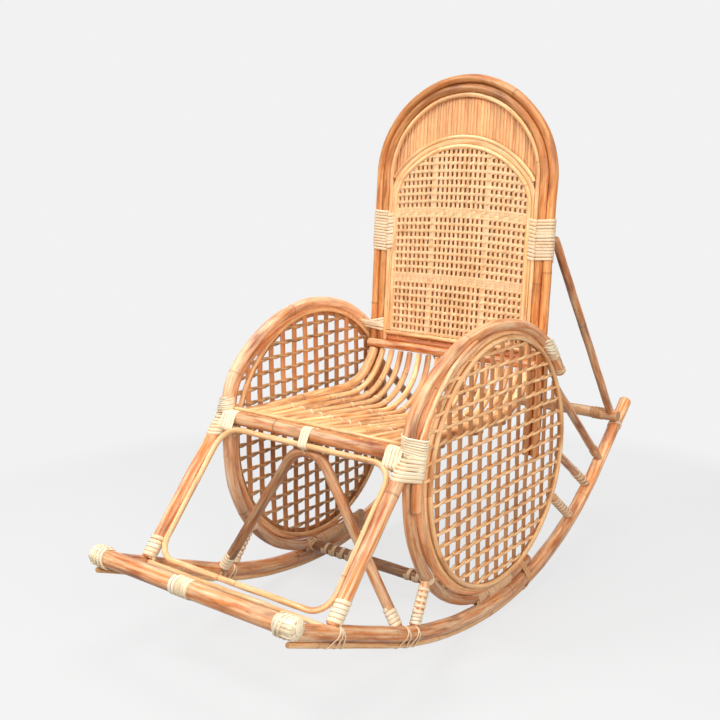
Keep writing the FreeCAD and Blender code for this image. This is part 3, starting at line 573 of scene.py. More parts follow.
tail_rise = np.radians(REAR_TURN)
tail_along = np.array([0.0, np.cos(tail_rise), np.sin(tail_rise)])
crossbar = rocker_path(0.0)[-1] - CROSSBAR_IN * tail_along
crossbar = crossbar + (ROCKER_R + CROSSBAR_R + FIT) * np.cross(X, tail_along)


def cross_pole(middle, half, radius, **settings):
    """Straight pole across the chair."""
    return pole(chain(line(middle - half * X, middle + half * X)), radius, side=Z, **settings)


dress("front_bar", [cross_pole(BAR, BAR_HALF, BAR_R, tone=-0.05, around=28)], POLE)
dress("rear_crossbar", [cross_pole(crossbar, BAR_HALF, CROSSBAR_R, tone=-0.05)], POLE)
# Painted shade: the stretcher, low under the hoops, is made much darker.
dress("stretcher", [cross_pole(STRETCHER, STRETCHER_HALF, STRETCHER_R, tone=-0.6)], POLE)
print("the rear bar lies", round(crossbar[2]), "mm above the floor")

# %% [markdown]
# Between the posts hangs a thin cane bent to a rounded rectangle, which fills the slanting front. Behind it
# a stouter pole is bent over a small radius, with its bend under the seat rail and its feet on the rockers.
# Each path is worked out in its own slanting plane from lines and the arcs that touch them.

# %% Front frame
RAIL = np.array([0.0, -298.0, 425.0])
RAIL_R, POST_R, LOOP_R, BRACE_R = 14.0, 13.5, 6.0, 11.0
POST_FOOT, POST_TOP = np.array([0.0, -518.0, 177.0]), np.array([0.0, -334.0, 388.0])
POST_X = 243.0
LOOP_LOW, LOOP_HIGH = np.array([0.0, -514.0, 181.5]), np.array([0.0, -317.5, 407.0])
LOOP_HALF, LOOP_BEND = 222.0, 46.0
BRACE_FOOT_X, BRACE_FOOT_Y, BRACE_APEX, BRACE_SLOPE = 240.0, -320.0, (-303.0, 391.0), 56.3
EDGE_STRIP, EDGE_STRIP_HALF, EDGE_STRIP_R = np.array([0.0, -287.0, 442.0]), 222.0, 4.0
TOE_STRIP, TOE_STRIP_HALF, TOE_STRIP_R = np.array([0.0, -529.0, 171.0]), 232.0, 5.0
RAIL_HALF = 236.0


def post_path(side):
    """Middle line of a slanting front post, carried into the poles at both ends."""
    run = POST_TOP - POST_FOOT
    return chain(line(side * POST_X * X + POST_FOOT - 0.02 * run, side * POST_X * X + POST_TOP + 0.12 * run))


def loop_path():
    """Four lines and four quarter turns in the slanting plane of the posts, from the middle of the foot."""
    up = unit(LOOP_HIGH - LOOP_LOW)
    inner_x, height = LOOP_HALF - LOOP_BEND, np.linalg.norm(LOOP_HIGH - LOOP_LOW)
    low, high = LOOP_LOW + LOOP_BEND * up, LOOP_LOW + (height - LOOP_BEND) * up
    turns = ((inner_x, low, -90), (inner_x, high, 0), (-inner_x, high, 90), (-inner_x, low, 180))
    corners = [arc(x * X + level, LOOP_BEND, first, first + 90, X, up) for x, level, first in turns]
    return chain(LOOP_LOW[None], *corners, LOOP_LOW[None])


def brace_path():
    """Two straight legs and the arc that touches both under the seat rail."""
    foot_z = rocker_at(0.0, BRACE_FOOT_Y)[2]
    peak = np.array([0.0, BRACE_APEX[0], foot_z + BRACE_FOOT_X * np.tan(np.radians(BRACE_SLOPE))])
    base = np.array([0.0, BRACE_FOOT_Y, foot_z])
    down = unit(base - peak)
    half = np.arctan2(BRACE_FOOT_X, np.linalg.norm(base - peak))
    bend = (peak[2] - BRACE_APEX[1]) / (1 / np.sin(half) - 1)
    centre = peak + down * bend / np.sin(half)
    sweep = np.degrees(np.pi / 2 - half)
    crown = arc(centre, bend, 90 + sweep, 90 - sweep, X, -down)
    return chain(line(base - BRACE_FOOT_X * X, crown[0]), crown, line(crown[-1], base + BRACE_FOOT_X * X))


for name, side in sides:
    dress("front_post_" + name, [pole(post_path(side), POST_R, tone=-0.02)], POLE)
dress("front_rail", [cross_pole(RAIL, RAIL_HALF, RAIL_R, tone=-0.2)], POLE)
edge_strip = cross_pole(EDGE_STRIP, EDGE_STRIP_HALF, EDGE_STRIP_R, tone=-0.02, around=12)
dress("seat_edge_strip", [edge_strip], THIN)
loop_side = np.cross(X, unit(LOOP_HIGH - LOOP_LOW))
dress("front_loop", [pole(loop_path(), LOOP_R, side=loop_side, tone=0.08, around=16)], THIN)
dress("toe_strip", [cross_pole(TOE_STRIP, TOE_STRIP_HALF, TOE_STRIP_R, tone=-0.06, around=12)], THIN)
# Painted shade: the brace is made darker, and its left half darker still.
brace_pole = pole(brace_path(), BRACE_R, side=Y, tone=-0.28)
dress("arched_brace", [shaded(brace_pole, 0, 0.0, -40.0, -0.2)], POLE)
print("the front loop is bent from", round(lengths(loop_path())[-1]), "mm of cane")

# %% [markdown]
# Each side is one long pole: it is the arm on top, turns over a shoulder, comes straight down in front,
# sweeps round below and ends lying on the rocker. Every arc starts where the last one ended and in the same
# direction, so the pole has no kink. The arms are turned out a little, so they stand further apart behind.

# %% Side hoops
HOOP_X, HOOP_R, ARM_FLARE = 238.0, 12.5, 2.0
ARM_CENTRE, ARM_R, ARM_REAR, ARM_TOP = np.array([12.0, 342.0]), 288.0, 31.0, 76.0
ARM_FRONT_R, ARM_FRONT, SHOULDER_R = 357.0, 134.0, 130.0
HOOP_LOW_Z, HOOP_TAIL = 345.0, 14.0


def stepped(centre, radius, next_radius, angle):
    """Centre of the arc that carries on from another at an angle without a kink."""
    return centre + (radius - next_radius) * circle(np.radians(angle))


FRONT_CENTRE = stepped(ARM_CENTRE, ARM_R, ARM_FRONT_R, ARM_TOP)
SHOULDER = stepped(FRONT_CENTRE, ARM_FRONT_R, SHOULDER_R, ARM_FRONT)
HOOP_FRONT_Y = SHOULDER[0] - SHOULDER_R
HOOP_RISE = np.sqrt((ROCKER_R + HOOP_R + FIT) ** 2 - (ROCKER_X - HOOP_X) ** 2)
TAIL_CENTRE, TAIL_R = np.array([0.0, ROCKER_LOW + REAR_R]), REAR_R - HOOP_RISE


def side_arc(x, centre, radius, first, last):
    """Arc in the side view at one distance from the middle of the chair."""
    return arc(np.array([x, *centre]), radius, first, last)


def flared(points, side):
    """Points turned about the hoop's upright front, so that the arms stand further apart behind."""
    turn = np.radians(-side * ARM_FLARE)
    hinge = np.array([side * HOOP_X, HOOP_FRONT_Y, 0.0])
    away = points - hinge
    x = away[:, 0] * np.cos(turn) - away[:, 1] * np.sin(turn)
    y = away[:, 0] * np.sin(turn) + away[:, 1] * np.cos(turn)
    return hinge + np.stack([x, y, away[:, 2]], -1)


def arm_path(side, first, last):
    """Part of the arm's rear arc, for what is bound round it."""
    return flared(chain(side_arc(side * HOOP_X, ARM_CENTRE, ARM_R, first, last)), side)


def hoop_path(side):
    """Arm, shoulder, straight front, low arc and tail, where the low arc touches both its neighbours."""
    x = side * HOOP_X
    top = np.concatenate([
        side_arc(x, ARM_CENTRE, ARM_R, ARM_REAR, ARM_TOP),
        side_arc(x, FRONT_CENTRE, ARM_FRONT_R, ARM_TOP, ARM_FRONT),
        side_arc(x, SHOULDER, SHOULDER_R, ARM_FRONT, 180.0),
    ])
    drop = TAIL_CENTRE[1] - HOOP_LOW_Z
    low_r = (TAIL_R ** 2 - HOOP_FRONT_Y ** 2 - drop ** 2) / (2 * (TAIL_R + HOOP_FRONT_Y))
    low_centre = np.array([HOOP_FRONT_Y + low_r, HOOP_LOW_Z])
    meet = angle_of(low_centre, TAIL_CENTRE)
    low = side_arc(x, low_centre, low_r, 180.0, 360.0 + meet)
    tail = side_arc(x, TAIL_CENTRE, TAIL_R, meet, -90.0 + HOOP_TAIL)
    return chain(flared(top, side), low, tail)


print("each hoop is bent from", round(lengths(hoop_path(1))[-1]), "mm of pole")

# %% [markdown]
# A tapered pole fills the shoulder under the arm, and two thin rings inside the hoop hold the lattice. What
# is left between hoop and ring is filled by one more cane: at each angle about the ring it is as thick as
# the space there.

# %% Under the arm, and the rings
RING_CENTRE = np.array([12.0, 342.0])
RINGS = {"back": (249.5, 270.0), "face": (258.5, 262.0)}
RING_R = 5.0
UNDER_X, UNDER_R = 260.0, (10.0, 2.5)
UNDER_FROM = {"left": 0.16, "right": 0.0}
UNDER_POINTS = ((-298.0, 320.0), (-251.0, 506.0), (-99.0, 616.0))
LOW_PAINTED_SHADE = {"left": 0.34, "right": 0.2}
FILL_ANGLES = np.linspace(34.0, 292.0, 320)
FILL_R, FILL_X = 10.5, 250.0


def under_arm(side, share):
    """Pole along the arc through three points, from a share of it on, thinner evenly towards the arm."""
    centre, radius = circle_through(*UNDER_POINTS)
    first, last = (angle_of(point, centre) % 360.0 for point in (UNDER_POINTS[0], UNDER_POINTS[2]))
    path = chain(side_arc(side * UNDER_X, centre, radius, first + (last - first) * share, last))
    size = np.linspace(UNDER_R[0] + (UNDER_R[1] - UNDER_R[0]) * share, UNDER_R[1], len(path))
    return pole(path, size, tone=0.02, sway=0.2)


def ring(x, radius):
    """Full circle of thin cane, one end let into the other so that no joint shows."""
    cane = pole(chain(side_arc(x, RING_CENTRE, radius, 180.0, 541.5)), RING_R, tone=0.0, around=14, sway=0.1)
    cane["cut"] = np.zeros_like(cane["cut"])
    return cane


def hoop_reach(side):
    """Distance from the ring's centre to the hoop's inner edge at each angle, and how far out it is."""
    hoop = hoop_path(side)
    away = hoop[:, 1:] - RING_CENTRE
    angle = np.degrees(np.arctan2(away[:, 1], away[:, 0])) % 360.0
    order = np.argsort(angle)
    reach = np.interp(FILL_ANGLES, angle[order], np.linalg.norm(away, axis=1)[order]) - HOOP_R
    return reach, np.interp(FILL_ANGLES, angle[order], np.abs(hoop[order, 0]))


def round_ring(size):
    """Points in the side view at a distance from the ring's centre for each angle of the filler."""
    return RING_CENTRE + size[:, None] * circle(np.radians(FILL_ANGLES))


def filler(side):
    """Tapered cane along the inside of the hoop, no thicker than the space that the ring leaves."""
    reach, wide = hoop_reach(side)
    half = np.clip((reach - RINGS["back"][1] - RING_R) / 2 + 1.5, 3.0, FILL_R)
    half = half * np.clip((FILL_ANGLES[-1] + 2.0 - FILL_ANGLES) / 12.0, 0.0, 1.0)
    path = np.column_stack([side * (0.25 * wide + 0.75 * FILL_X), round_ring(reach - half + 1.0)])
    return pole(path, half, tone=0.0, around=16, sway=0.1)


for name, side in sides:
    # Painted light: the left hoop also gets a higher tone than the right one.
    hoop = pole(hoop_path(side), HOOP_R, tone=0.03 - 0.05 * side, around=24)
    # Painted shade: each hoop is made darker towards its low sweep, the left one more.
    hoop = shaded(hoop, 2, 380.0, -230.0, -LOW_PAINTED_SHADE[name])
    dress("outer_hoop_" + name, [hoop], KEY_LIT_POLE if name == "left" else POLE)
    dress("under_arm_pole_" + name, [under_arm(side, UNDER_FROM[name]), filler(side)], POLE)
    for part, (ring_x, radius) in RINGS.items():
        dress("ring_%s_%s" % (part, name), [ring(side * ring_x, radius)], THIN)
print("hoops done,", len(made), "pieces")

# %% [markdown]
# The lattice stands on flat brown strips inside the ring. They end at the ring, so their lengths are chords
# of a circle: twice the root of the radius squared less the offset squared. At the shoulder, where the hoop
# bulges past the ring, they run on to the filler. No strip is quite straight, and each has a tone of its
# own.

# %% Lattice strips
STRIP_OUTLINE = np.array([[-0.5, -0.32], [-0.4, -0.5], [0.4, -0.5], [0.5, -0.32],
                          [0.5, 0.2], [0.36, 0.5], [-0.36, 0.5], [-0.5, 0.2]])
UPRIGHT_PITCH, UPRIGHT_WIDE, UPRIGHT_THICK, UPRIGHT_X = 38.0, 14.5, 3.0, 251.4
EDGE_X, EDGE_R, EDGE_WIDE = 254.0, 262.0, 12.0


def strip(points, wide, thick, side, tone=0.0, stain=0.0, outline=STRIP_OUTLINE):
    """Flat strip: a rounded oblong carried along a path, its width along side, even or by the point."""
    along = lengths(points)
    _, across, up = section_axes(points, side)
    size = np.stack([np.broadcast_to(wide, len(points)), np.full(len(points), thick)], -1)[:, None]
    rows = carried(points, outline * size, across, up)
    return skin(rows, along, tone, np.full(len(points), stain))


def chords(reach, pitch, margin):
    """Even offsets across a circle, and half the chord at each."""
    count = int((reach - margin) / pitch)
    offsets = np.arange(-count, count + 1) * pitch
    return offsets, np.sqrt(reach ** 2 - (np.abs(offsets) + margin) ** 2)


def shoulder_edge(side):
    """Where the lattice ends at the shoulder, in the side view: on the filler, or the ring if further."""
    reach, _ = hoop_reach(side)
    edge = round_ring(np.maximum(reach - FILL_R, RINGS["back"][1]))
    return edge[(FILL_ANGLES > 90.0) & (FILL_ANGLES < 180.0)]


def uprights(side):
    """Flat strips from foot to head of the ring, or up to the shoulder, bowing a little in and out."""
    edge = shoulder_edge(side)[::-1]
    skins = []
    for offset, half in zip(*chords(RINGS["back"][1], UPRIGHT_PITCH, UPRIGHT_WIDE / 2)):
        y = RING_CENTRE[0] + offset
        foot = np.array([side * UPRIGHT_X, y, RING_CENTRE[1] - half])
        head = RING_CENTRE[1] + half
        head = max(head, np.interp(y, edge[:, 0], edge[:, 1], left=head, right=head))
        path = chain(line(foot, np.array([side * UPRIGHT_X, y, head])), step=12.0)
        path[:, 1] += waves(lengths(path), 1.2)
        path[:, 0] += waves(lengths(path), 0.4)
        skins.append(strip(path, UPRIGHT_WIDE, UPRIGHT_THICK, Y * side, rng.normal(-0.02, 0.10)))
    return skins


def edge_ring(side):
    """Flat brown ring between the two thin canes, its width along the radius."""
    path = chain(side_arc(side * EDGE_X, RING_CENTRE, EDGE_R, 180.0, 541.0))
    outward = unit(path - np.array([side * EDGE_X, *RING_CENTRE]))
    # The strip belongs to the ring; its darker tone is painted shade for the gap between the two thin canes.
    return strip(path, EDGE_WIDE, 2.0, outward, -0.25)


print("lattice strips a side", len(chords(RINGS["back"][1], UPRIGHT_PITCH, UPRIGHT_WIDE / 2)[0]))

# %% [markdown]
# Across the strips run rows of twined strands, two to a row. At each strip one strand passes outside and
# one inside, and they change places on the way to the next. So one strand is a cosine in depth and a sine
# in height, and the other is its mirror. The strand that lies inside is darkened, most between uprights:
# partly painted shade, as less light reaches it, and partly its own duller colour, as less polish reaches it.

# %% Lattice strands
CANE_PITCH, STRAND_R = 30.0, 3.0
TWIST_X, TWIST_HIGH, TWIST_DEEP = 253.4, 2.0, 3.6


def cross_canes(side):
    """Two strands a row that change places round each upright: a cosine in depth and a sine in height."""
    edge = shoulder_edge(side)[::-1]
    skins = []
    for offset, half in zip(*chords(RINGS["face"][1], CANE_PITCH, STRAND_R)):
        z = RING_CENTRE[1] + offset
        front = RING_CENTRE[0] - half
        front = min(front, np.interp(z, edge[:, 1], edge[:, 0], left=front, right=front))
        start, end = (np.array([side * TWIST_X, y, z]) for y in (front, RING_CENTRE[0] + half))
        middle = chain(line(start, end), step=4.0)
        middle[:, 2] += waves(lengths(middle), 1.0)
        angle = np.pi * (middle[:, 1:2] - RING_CENTRE[0]) / UPRIGHT_PITCH
        twist = TWIST_DEEP * np.cos(angle) * X * side + TWIST_HIGH * np.sin(angle) * Z
        for hand in (1, -1):
            strand = pole(middle + hand * twist, STRAND_R, tone=rng.normal(0.04, 0.05), around=10, sway=0.1)
            # Painted shade with some real dullness: the inner strand is darkened, deepest between the
            # uprights.
            between = np.sin(np.pi * (strand["verts"][:, 1] - RING_CENTRE[0]) / UPRIGHT_PITCH) ** 2
            inward_shade = np.clip((TWIST_X + 1.5 - np.abs(strand["verts"][:, 0])) / STRAND_R, 0.0, 1.0)
            strand["tone"] = strand["tone"] - inward_shade * (0.3 + 0.25 * between)
            skins.append(strand)
    return skins


print("lattice rows a side", len(chords(RINGS["face"][1], CANE_PITCH, STRAND_R)[0]))

# %% [markdown]
# Short poles prop the hoop on its rocker: one leans forward under the front and three run back to the tail.
# Each is a straight line between a point of the hoop or ring and a point of the rocker, both read from the
# paths above.

# %% Props of the hoops, and the sides put together
SPACER_TOP, SPACER_FOOT_Y, SPACER_R = np.array([-229.0, 161.0]), -287.0, 10.0
STRUT_X, STRUT_R = 249.0, 9.5
STRUT_TOPS, STRUT_FEET = (24.0, -10.0, -30.0), (43.5, 37.3, 29.3)


def spacer_ends(side):
    """Middle line of a hoop spacer, from the hoop to the rocker."""
    return np.array([side * HOOP_X, *SPACER_TOP]), rocker_at(side * ROCKER_X, SPACER_FOOT_Y)


def strut_ends(side, index):
    """Middle line of a rear strut, from the ring to the rocker's tail."""
    top = RING_CENTRE + RINGS["back"][1] * circle(np.radians(STRUT_TOPS[index]))
    return np.array([side * STRUT_X, *top]), rocker_mark(side * STRUT_X, STRUT_FEET[index])


for name, side in sides:
    dress("lattice_uprights_" + name, uprights(side) + [edge_ring(side)], LATTICE)
    dress("lattice_cross_canes_" + name, cross_canes(side), THIN)
    dress("hoop_spacer_" + name, [pole(chain(line(*spacer_ends(side))), SPACER_R, tone=-0.08)], POLE)
    struts = [pole(chain(line(*strut_ends(side, index))), STRUT_R, tone=-0.05) for index in range(3)]
    dress("rear_struts_" + name, struts, POLE)
print("lattice and props done,", len(made), "pieces")

# %% [markdown]
# The back leans a few degrees and is drawn flat first: each arch is a leg, a small arc, a large arc, a
# small arc and a leg. Arches that lie side by side are the same arch moved outward, which adds the same
# amount to its half width, its rise and its side radius. A point of the flat drawing is then carried to the
# leaning plane.

# %% Arches of the back
BACK_BASE_Y, BACK_LEAN = 175.3, np.radians(4.02)
BACK_UP = np.array([0.0, np.sin(BACK_LEAN), np.cos(BACK_LEAN)])
BEHIND = np.array([0.0, np.cos(BACK_LEAN), -np.sin(BACK_LEAN)])
BACK_R, BACK_FOOT = 10.0, 306.0


def on_back(x, w, behind=0.0):
    """Points of the leaning back at x across, w up along it and so far behind its middle plane."""
    x, w, behind = (np.asarray(value, float)[..., None] for value in (x, w, behind))
    return BACK_BASE_Y * Y + x * X + w * BACK_UP + behind * BEHIND


class Arch:
    """Three arcs on two legs."""

    def __init__(self, half, spring, rise, side_radius):
        self.half, self.spring, self.rise, self.side_r = half, spring, rise, side_radius
        self.top_r = ((half - side_radius) ** 2 / (rise - side_radius) + side_radius + rise) / 2
        self.depth = self.top_r - rise
        self.side_x = half - side_radius
        self.meet = np.degrees(np.arctan2(self.depth, self.side_x))

    def moved(self, outward):
        """The arch that lies so far outside this one."""
        return Arch(self.half + outward, self.spring, self.rise + outward, self.side_r + outward)

    def path(self, foot, behind=0.0):
        """Leg, three arcs and leg, on the leaning back."""
        right = arc(np.array([self.side_x, self.spring, 0.0]), self.side_r, 0.0, self.meet, X, Y)
        low = np.array([0.0, self.spring - self.depth, 0.0])
        top = arc(low, self.top_r, self.meet, 180.0 - self.meet, X, Y)
        left = arc(np.array([-self.side_x, self.spring, 0.0]), self.side_r, 180.0 - self.meet, 180.0, X, Y)
        feet = [np.array([[sign * self.half, foot, 0.0]]) for sign in (1, -1)]
        flat = np.concatenate([feet[0], right, top, left, feet[1]])
        return chain(on_back(flat[:, 0], flat[:, 1], behind))

    def height(self, x):
        """Height of the crown at x: the large circle in the middle, a small circle at each side."""
        x = np.abs(x)
        top = self.spring - self.depth + np.sqrt(np.maximum(self.top_r ** 2 - x ** 2, 0.0))
        side = self.spring + np.sqrt(np.maximum(self.side_r ** 2 - (x - self.side_x) ** 2, 0.0))
        return np.where(x <= self.top_r * np.cos(np.radians(self.meet)), top, side)

    def reach(self, w):
        """Half width at a height: the legs below the springing, then the small and the large circle."""
        over = np.maximum(w - self.spring, 0.0)
        side = self.side_x + np.sqrt(np.maximum(self.side_r ** 2 - over ** 2, 0.0))
        top = np.sqrt(np.maximum(self.top_r ** 2 - (over + self.depth) ** 2, 0.0))
        return np.where(over <= self.side_r * np.sin(np.radians(self.meet)), side, top)


ARCH_GAP, TRIM_GAP = 20.3, 15.3
OUTER = Arch(233.0, 919.8, 219.0, 200.0)
INNER = OUTER.moved(-ARCH_GAP)
TRIM = INNER.moved(-TRIM_GAP)
PANEL = Arch(181.0, 858.9, 130.0, 90.0)
print("the crown stands", round(on_back(0.0, OUTER.height(0.0))[2] + BACK_R), "mm above the floor")

# %% [markdown]
# Two stout poles make the back, one inside the other, with a dark strip where they touch: painted shade in
# the crease between them. Their tone falls off towards the crown and a little towards the left. A thin trim
# cane follows them inside, and the frame of the woven panel is two thin canes with a flat band between.

# %% Poles and canes of the back
CROWN_FROM, CROWN_OVER, CROWN_DARK, LEFT_DARK = 930.0, 160.0, 0.34, 0.1
LEFT_OVER = 200.0
CREASE_SHADE_FOOT, CREASE_SHADE_BEHIND, CREASE_SHADE_WIDE, CREASE_SHADE_THICK = 700.0, 2.0, 3.0, 8.0
TRIM_FOOT, TRIM_BEHIND = 520.0, -3.0
PANEL_FRONT, PANEL_FOOT = -4.0, 546.3
INNER_CANE_R, OUTER_CANE_R, BAND_WIDE, BAND_THICK, BAND_MOST = 5.0, 4.5, 11.4, 4.0, 192.0
CROWN_CANE_MOST = 190.0


def darker_to_crown(skin_rows):
    """A skin made darker towards the top of the back and a little towards one side."""
    share = np.clip((skin_rows["verts"][:, 2] - CROWN_FROM) / CROWN_OVER, 0.0, 1.0)
    left = np.clip(-skin_rows["verts"][:, 0] / LEFT_OVER, 0.0, 1.0)
    skin_rows["tone"] = skin_rows["tone"] - CROWN_DARK * share - LEFT_DARK * left * (1.0 - share)
    return skin_rows


def back_arch(arch, tone):
    """Stout pole bent along an arch of the back, down to its feet."""
    return darker_to_crown(pole(arch.path(BACK_FOOT), BACK_R, side=BEHIND, tone=tone, around=22))


def thin_arch(path, radius, tone, around):
    """Thin cane along an arch of the back, nearly without sway."""
    return pole(path, radius, side=BEHIND, tone=tone, around=around, sway=0.2)


dress("back_outer_arch", [back_arch(OUTER, 0.0)], BACK_POLE)
inner_arch = back_arch(INNER, -0.03)
# Painted shade: a dark strip in the crease where the two poles touch.
crease_shade_path = OUTER.moved(-ARCH_GAP / 2).path(CREASE_SHADE_FOOT, CREASE_SHADE_BEHIND)
dress("back_inner_arch", [inner_arch, strip(crease_shade_path, CREASE_SHADE_WIDE, CREASE_SHADE_THICK, BEHIND, -0.4)], BACK_POLE)
dress("back_trim_arch", [thin_arch(TRIM.path(TRIM_FOOT, TRIM_BEHIND), 5.0, 0.0, 14)], THIN)
dress("panel_inner_cane", [thin_arch(PANEL.path(PANEL_FOOT, PANEL_FRONT), INNER_CANE_R, 0.08, 14)], THIN)
band_path = PANEL.moved(INNER_CANE_R + FIT + BAND_WIDE / 2).path(PANEL_FOOT, PANEL_FRONT)
band = strip(band_path, BAND_THICK, BAND_WIDE, BEHIND)
band["verts"][:, 0] = np.clip(band["verts"][:, 0], -BAND_MOST, BAND_MOST)
dress("panel_band", [band], THIN)
outer_cane_arch = PANEL.moved(INNER_CANE_R + BAND_WIDE + OUTER_CANE_R + 2 * FIT)
crown = outer_cane_arch.path(PANEL.spring - 40.0, PANEL_FRONT)
crown = crown[(np.abs(crown[:, 0]) < CROWN_CANE_MOST) & (crown[:, 2] > PANEL.spring)]
dress("panel_outer_cane", [thin_arch(crown, OUTER_CANE_R, 0.08, 12)], THIN)
print("arches done,", len(made), "pieces")

# %% [markdown]
# Below the panel three rods cross the back: a thin border, a red rail and the lower rail in front of the
# legs, which the seat canes end under. A long stay on each side runs from the back down to the bar on the
# rockers' tails.

# %% Rods and stays of the back
BORDER_HALF, BORDER_W = 192.0, 541.0
RED_HALF, RED_W, RED_BEHIND, RED_R = 202.4, 524.0, 4.0, 7.5
LOWER_W, LOWER_R = 513.0, 10.0
STAY_TOP, STAY_FOOT_X, STAY_R, STAY_BEHIND = 792.0, 243.0, 9.5, 25.1


def back_rod(half, w, behind, radius, **settings):
    """Straight pole across the leaning back."""
    ends = on_back(np.array([-half, half]), w, behind)
    return pole(chain(ends), radius, side=BACK_UP, **settings)


dress("panel_border", [back_rod(BORDER_HALF, BORDER_W, PANEL_FRONT, 5.0, tone=0.08, around=14)], THIN)
dress("back_red_rail", [back_rod(RED_HALF, RED_W, RED_BEHIND, RED_R, tone=0.0, around=16)], RED)
dress("back_lower_rail", [back_rod(OUTER.half, LOWER_W, -ARCH_GAP, LOWER_R, tone=0.04)], POLE)
for name, side in sides:
    top = on_back(side * OUTER.half, STAY_TOP, STAY_BEHIND)
    foot = np.array([side * STAY_FOOT_X, crossbar[1], crossbar[2]])
    dress("back_stay_" + name, [pole(chain(line(top, foot)), STAY_R, tone=-0.09)], POLE)
print("back frame done,", len(made), "pieces")

# %% [markdown]
# Upright reeds fill the space between the arches. Each reed is half round in front, and both its ends
# follow an arch, so every point of its outline gets its own low and high end from the two arches at that x.

# %% Reeds between the arches
REED_WIDTHS, REED_THICK, REED_FRONT = (6.4, 10.6), 4.0, 2.8
REED_OUTLINE = np.array([[-0.5, 1.0], [-0.5, 0.55], [-0.34, 0.16], [0.0, 0.0],
                         [0.34, 0.16], [0.5, 0.55], [0.5, 1.0]])
REED_ROWS = 12
REED_SIDE, REED_SIDE_FOOT = 186.0, 850.0


def reed(x, wide, low_arch, high_arch):
    """Half-round outline whose points each run from the lower arch to the upper one."""
    across = x + REED_OUTLINE[:, 0] * wide * rng.uniform(0.96, 1.02)
    behind = REED_FRONT + REED_OUTLINE[:, 1] * REED_THICK + rng.uniform(-0.5, 0.5)
    share = np.linspace(0.0, 1.0, REED_ROWS)[:, None]
    low, high = low_arch.height(across), high_arch.height(across)
    low = np.where(np.abs(across) > REED_SIDE, REED_SIDE_FOOT, low)
    rows = on_back(np.broadcast_to(across, (REED_ROWS, len(across))), low + (high - low) * share,
                   np.broadcast_to(behind, (REED_ROWS, len(across))))
    return skin(rows, (share * (high - low).mean()).ravel(), rng.normal(-0.02, 0.09))


reed_low, reed_high = outer_cane_arch, TRIM.moved(5.0)
reed_edges = np.cumsum(rng.uniform(*REED_WIDTHS, 80)) - reed_high.half - REED_WIDTHS[0]
reed_edges = reed_edges[reed_edges < reed_high.half + 1.0]
reed_places = zip((reed_edges[1:] + reed_edges[:-1]) / 2, np.diff(reed_edges))
dress("reed_panel", [reed(x, wide, reed_low, reed_high) for x, wide in reed_places], REED)
print("reeds", len(reed_edges) - 1)

# %% [markdown]
# The woven panel has pale upright strips in three groups, with two strands twined across them in every row:
# at each upright one strand is in front and one behind, and they change places in between. Two close rows
# make a plain band at a third and two thirds of the height. Brown strips stand behind the openings, so
# these look dark from in front: painted shade for the openings, given the shape of a backing of strips.

# %% Places of the woven strips
WEAVE_GROUPS = (8, 11, 8)
WEAVE_GAP = 0.75

panel_inside = PANEL.moved(-2.0)
starts = np.cumsum((0,) + WEAVE_GROUPS[:-1]) + WEAVE_GAP * np.arange(len(WEAVE_GROUPS))
slot_places = np.concatenate([start + np.arange(group) for start, group in zip(starts, WEAVE_GROUPS)])
column = 2 * panel_inside.half / (slot_places[-1] + 1.4)
slot_places = (slot_places - slot_places.mean()) * column
wide_gaps = np.flatnonzero(np.diff(slot_places) > 1.2 * column)
gap_places = (slot_places[wide_gaps] + slot_places[wide_gaps + 1]) / 2
upright_places = np.concatenate([slot_places - column / 2, slot_places + column / 2, gap_places])
upright_places = np.unique(np.round(upright_places, 3))
print("woven uprights", len(upright_places), "and", round(column, 2), "mm from slot to slot")

# %% [markdown]
# A row drops a little towards its sides, more so higher up. The uprights are drawn in between the rows, so
# their width follows a cosine of the height. A strand is a cosine in depth and a sine in height, with half
# a wave to each upright, and its partner has the other sign.

# %% Strips and strands of the weave
ROW_PITCH, PINCH, BOW = 17.4, 0.13, 12.0
BOW_HEIGHT = 440.0
STRAND_WIDE, STRAND_THICK, STRAND_LIFT, STRAND_SPREAD = 6.4, 1.5, 1.5, 1.5
WEAVE_FOOT, FIRST_ROW = PANEL_FOOT - 3.0, PANEL_FOOT + 4.0


def sag(x, w):
    """How far a row hangs below its middle: with the square of x, and more the higher the row."""
    return BOW * (w - PANEL_FOOT) / BOW_HEIGHT * (x / PANEL.half) ** 2


def back_strip(x, wide, thick, behind, tone, foot=WEAVE_FOOT, pinch=PINCH, outline=STRIP_OUTLINE):
    """Upright strip of the panel, up to the arch above, its width drawn in between rows by a cosine."""
    top = float(panel_inside.height(np.array(x)))
    w = np.linspace(foot, top, max(int((top - foot) / 4.3), 2))
    path = on_back(x + waves(w, 0.5), w, behind + waves(w, 0.25))
    beat = np.cos(2 * np.pi * (w + sag(x, w) - FIRST_ROW) / ROW_PITCH)
    return strip(path, wide * (1.0 + pinch * beat), thick, X, tone, outline=outline)


def twined(w, hand):
    """One of two strands across a row: a cosine in depth and a sine in height, half a wave an upright."""
    half = float(panel_inside.reach(np.array(w - sag(150.0, w)))) + 1.0
    x = np.arange(-half, half, 2.8)
    phase = np.pi * x / column
    behind = PANEL_FRONT - hand * STRAND_LIFT * np.cos(phase)
    height = w - sag(x, w) + hand * STRAND_SPREAD * np.sin(phase) + waves(x, 0.5)
    path = on_back(x, height, behind)
    return strip(path, STRAND_WIDE, STRAND_THICK, BACK_UP, rng.normal(0.0, 0.07))


row_count = int((panel_inside.height(0.0) - PANEL_FOOT) / ROW_PITCH) + 1
row_heights = FIRST_ROW + np.arange(row_count) * ROW_PITCH
print("rows of the weave", row_count)

# %% [markdown]
# The weave is put together row by row, and each plain band gets two more pairs of strands between its rows.
# Behind it stand the brown strips, painted shade for the openings, flat in front and half round behind, so
# the rear of the chair looks like cane too. A seam strip at each side closes the slit between panel and arch.

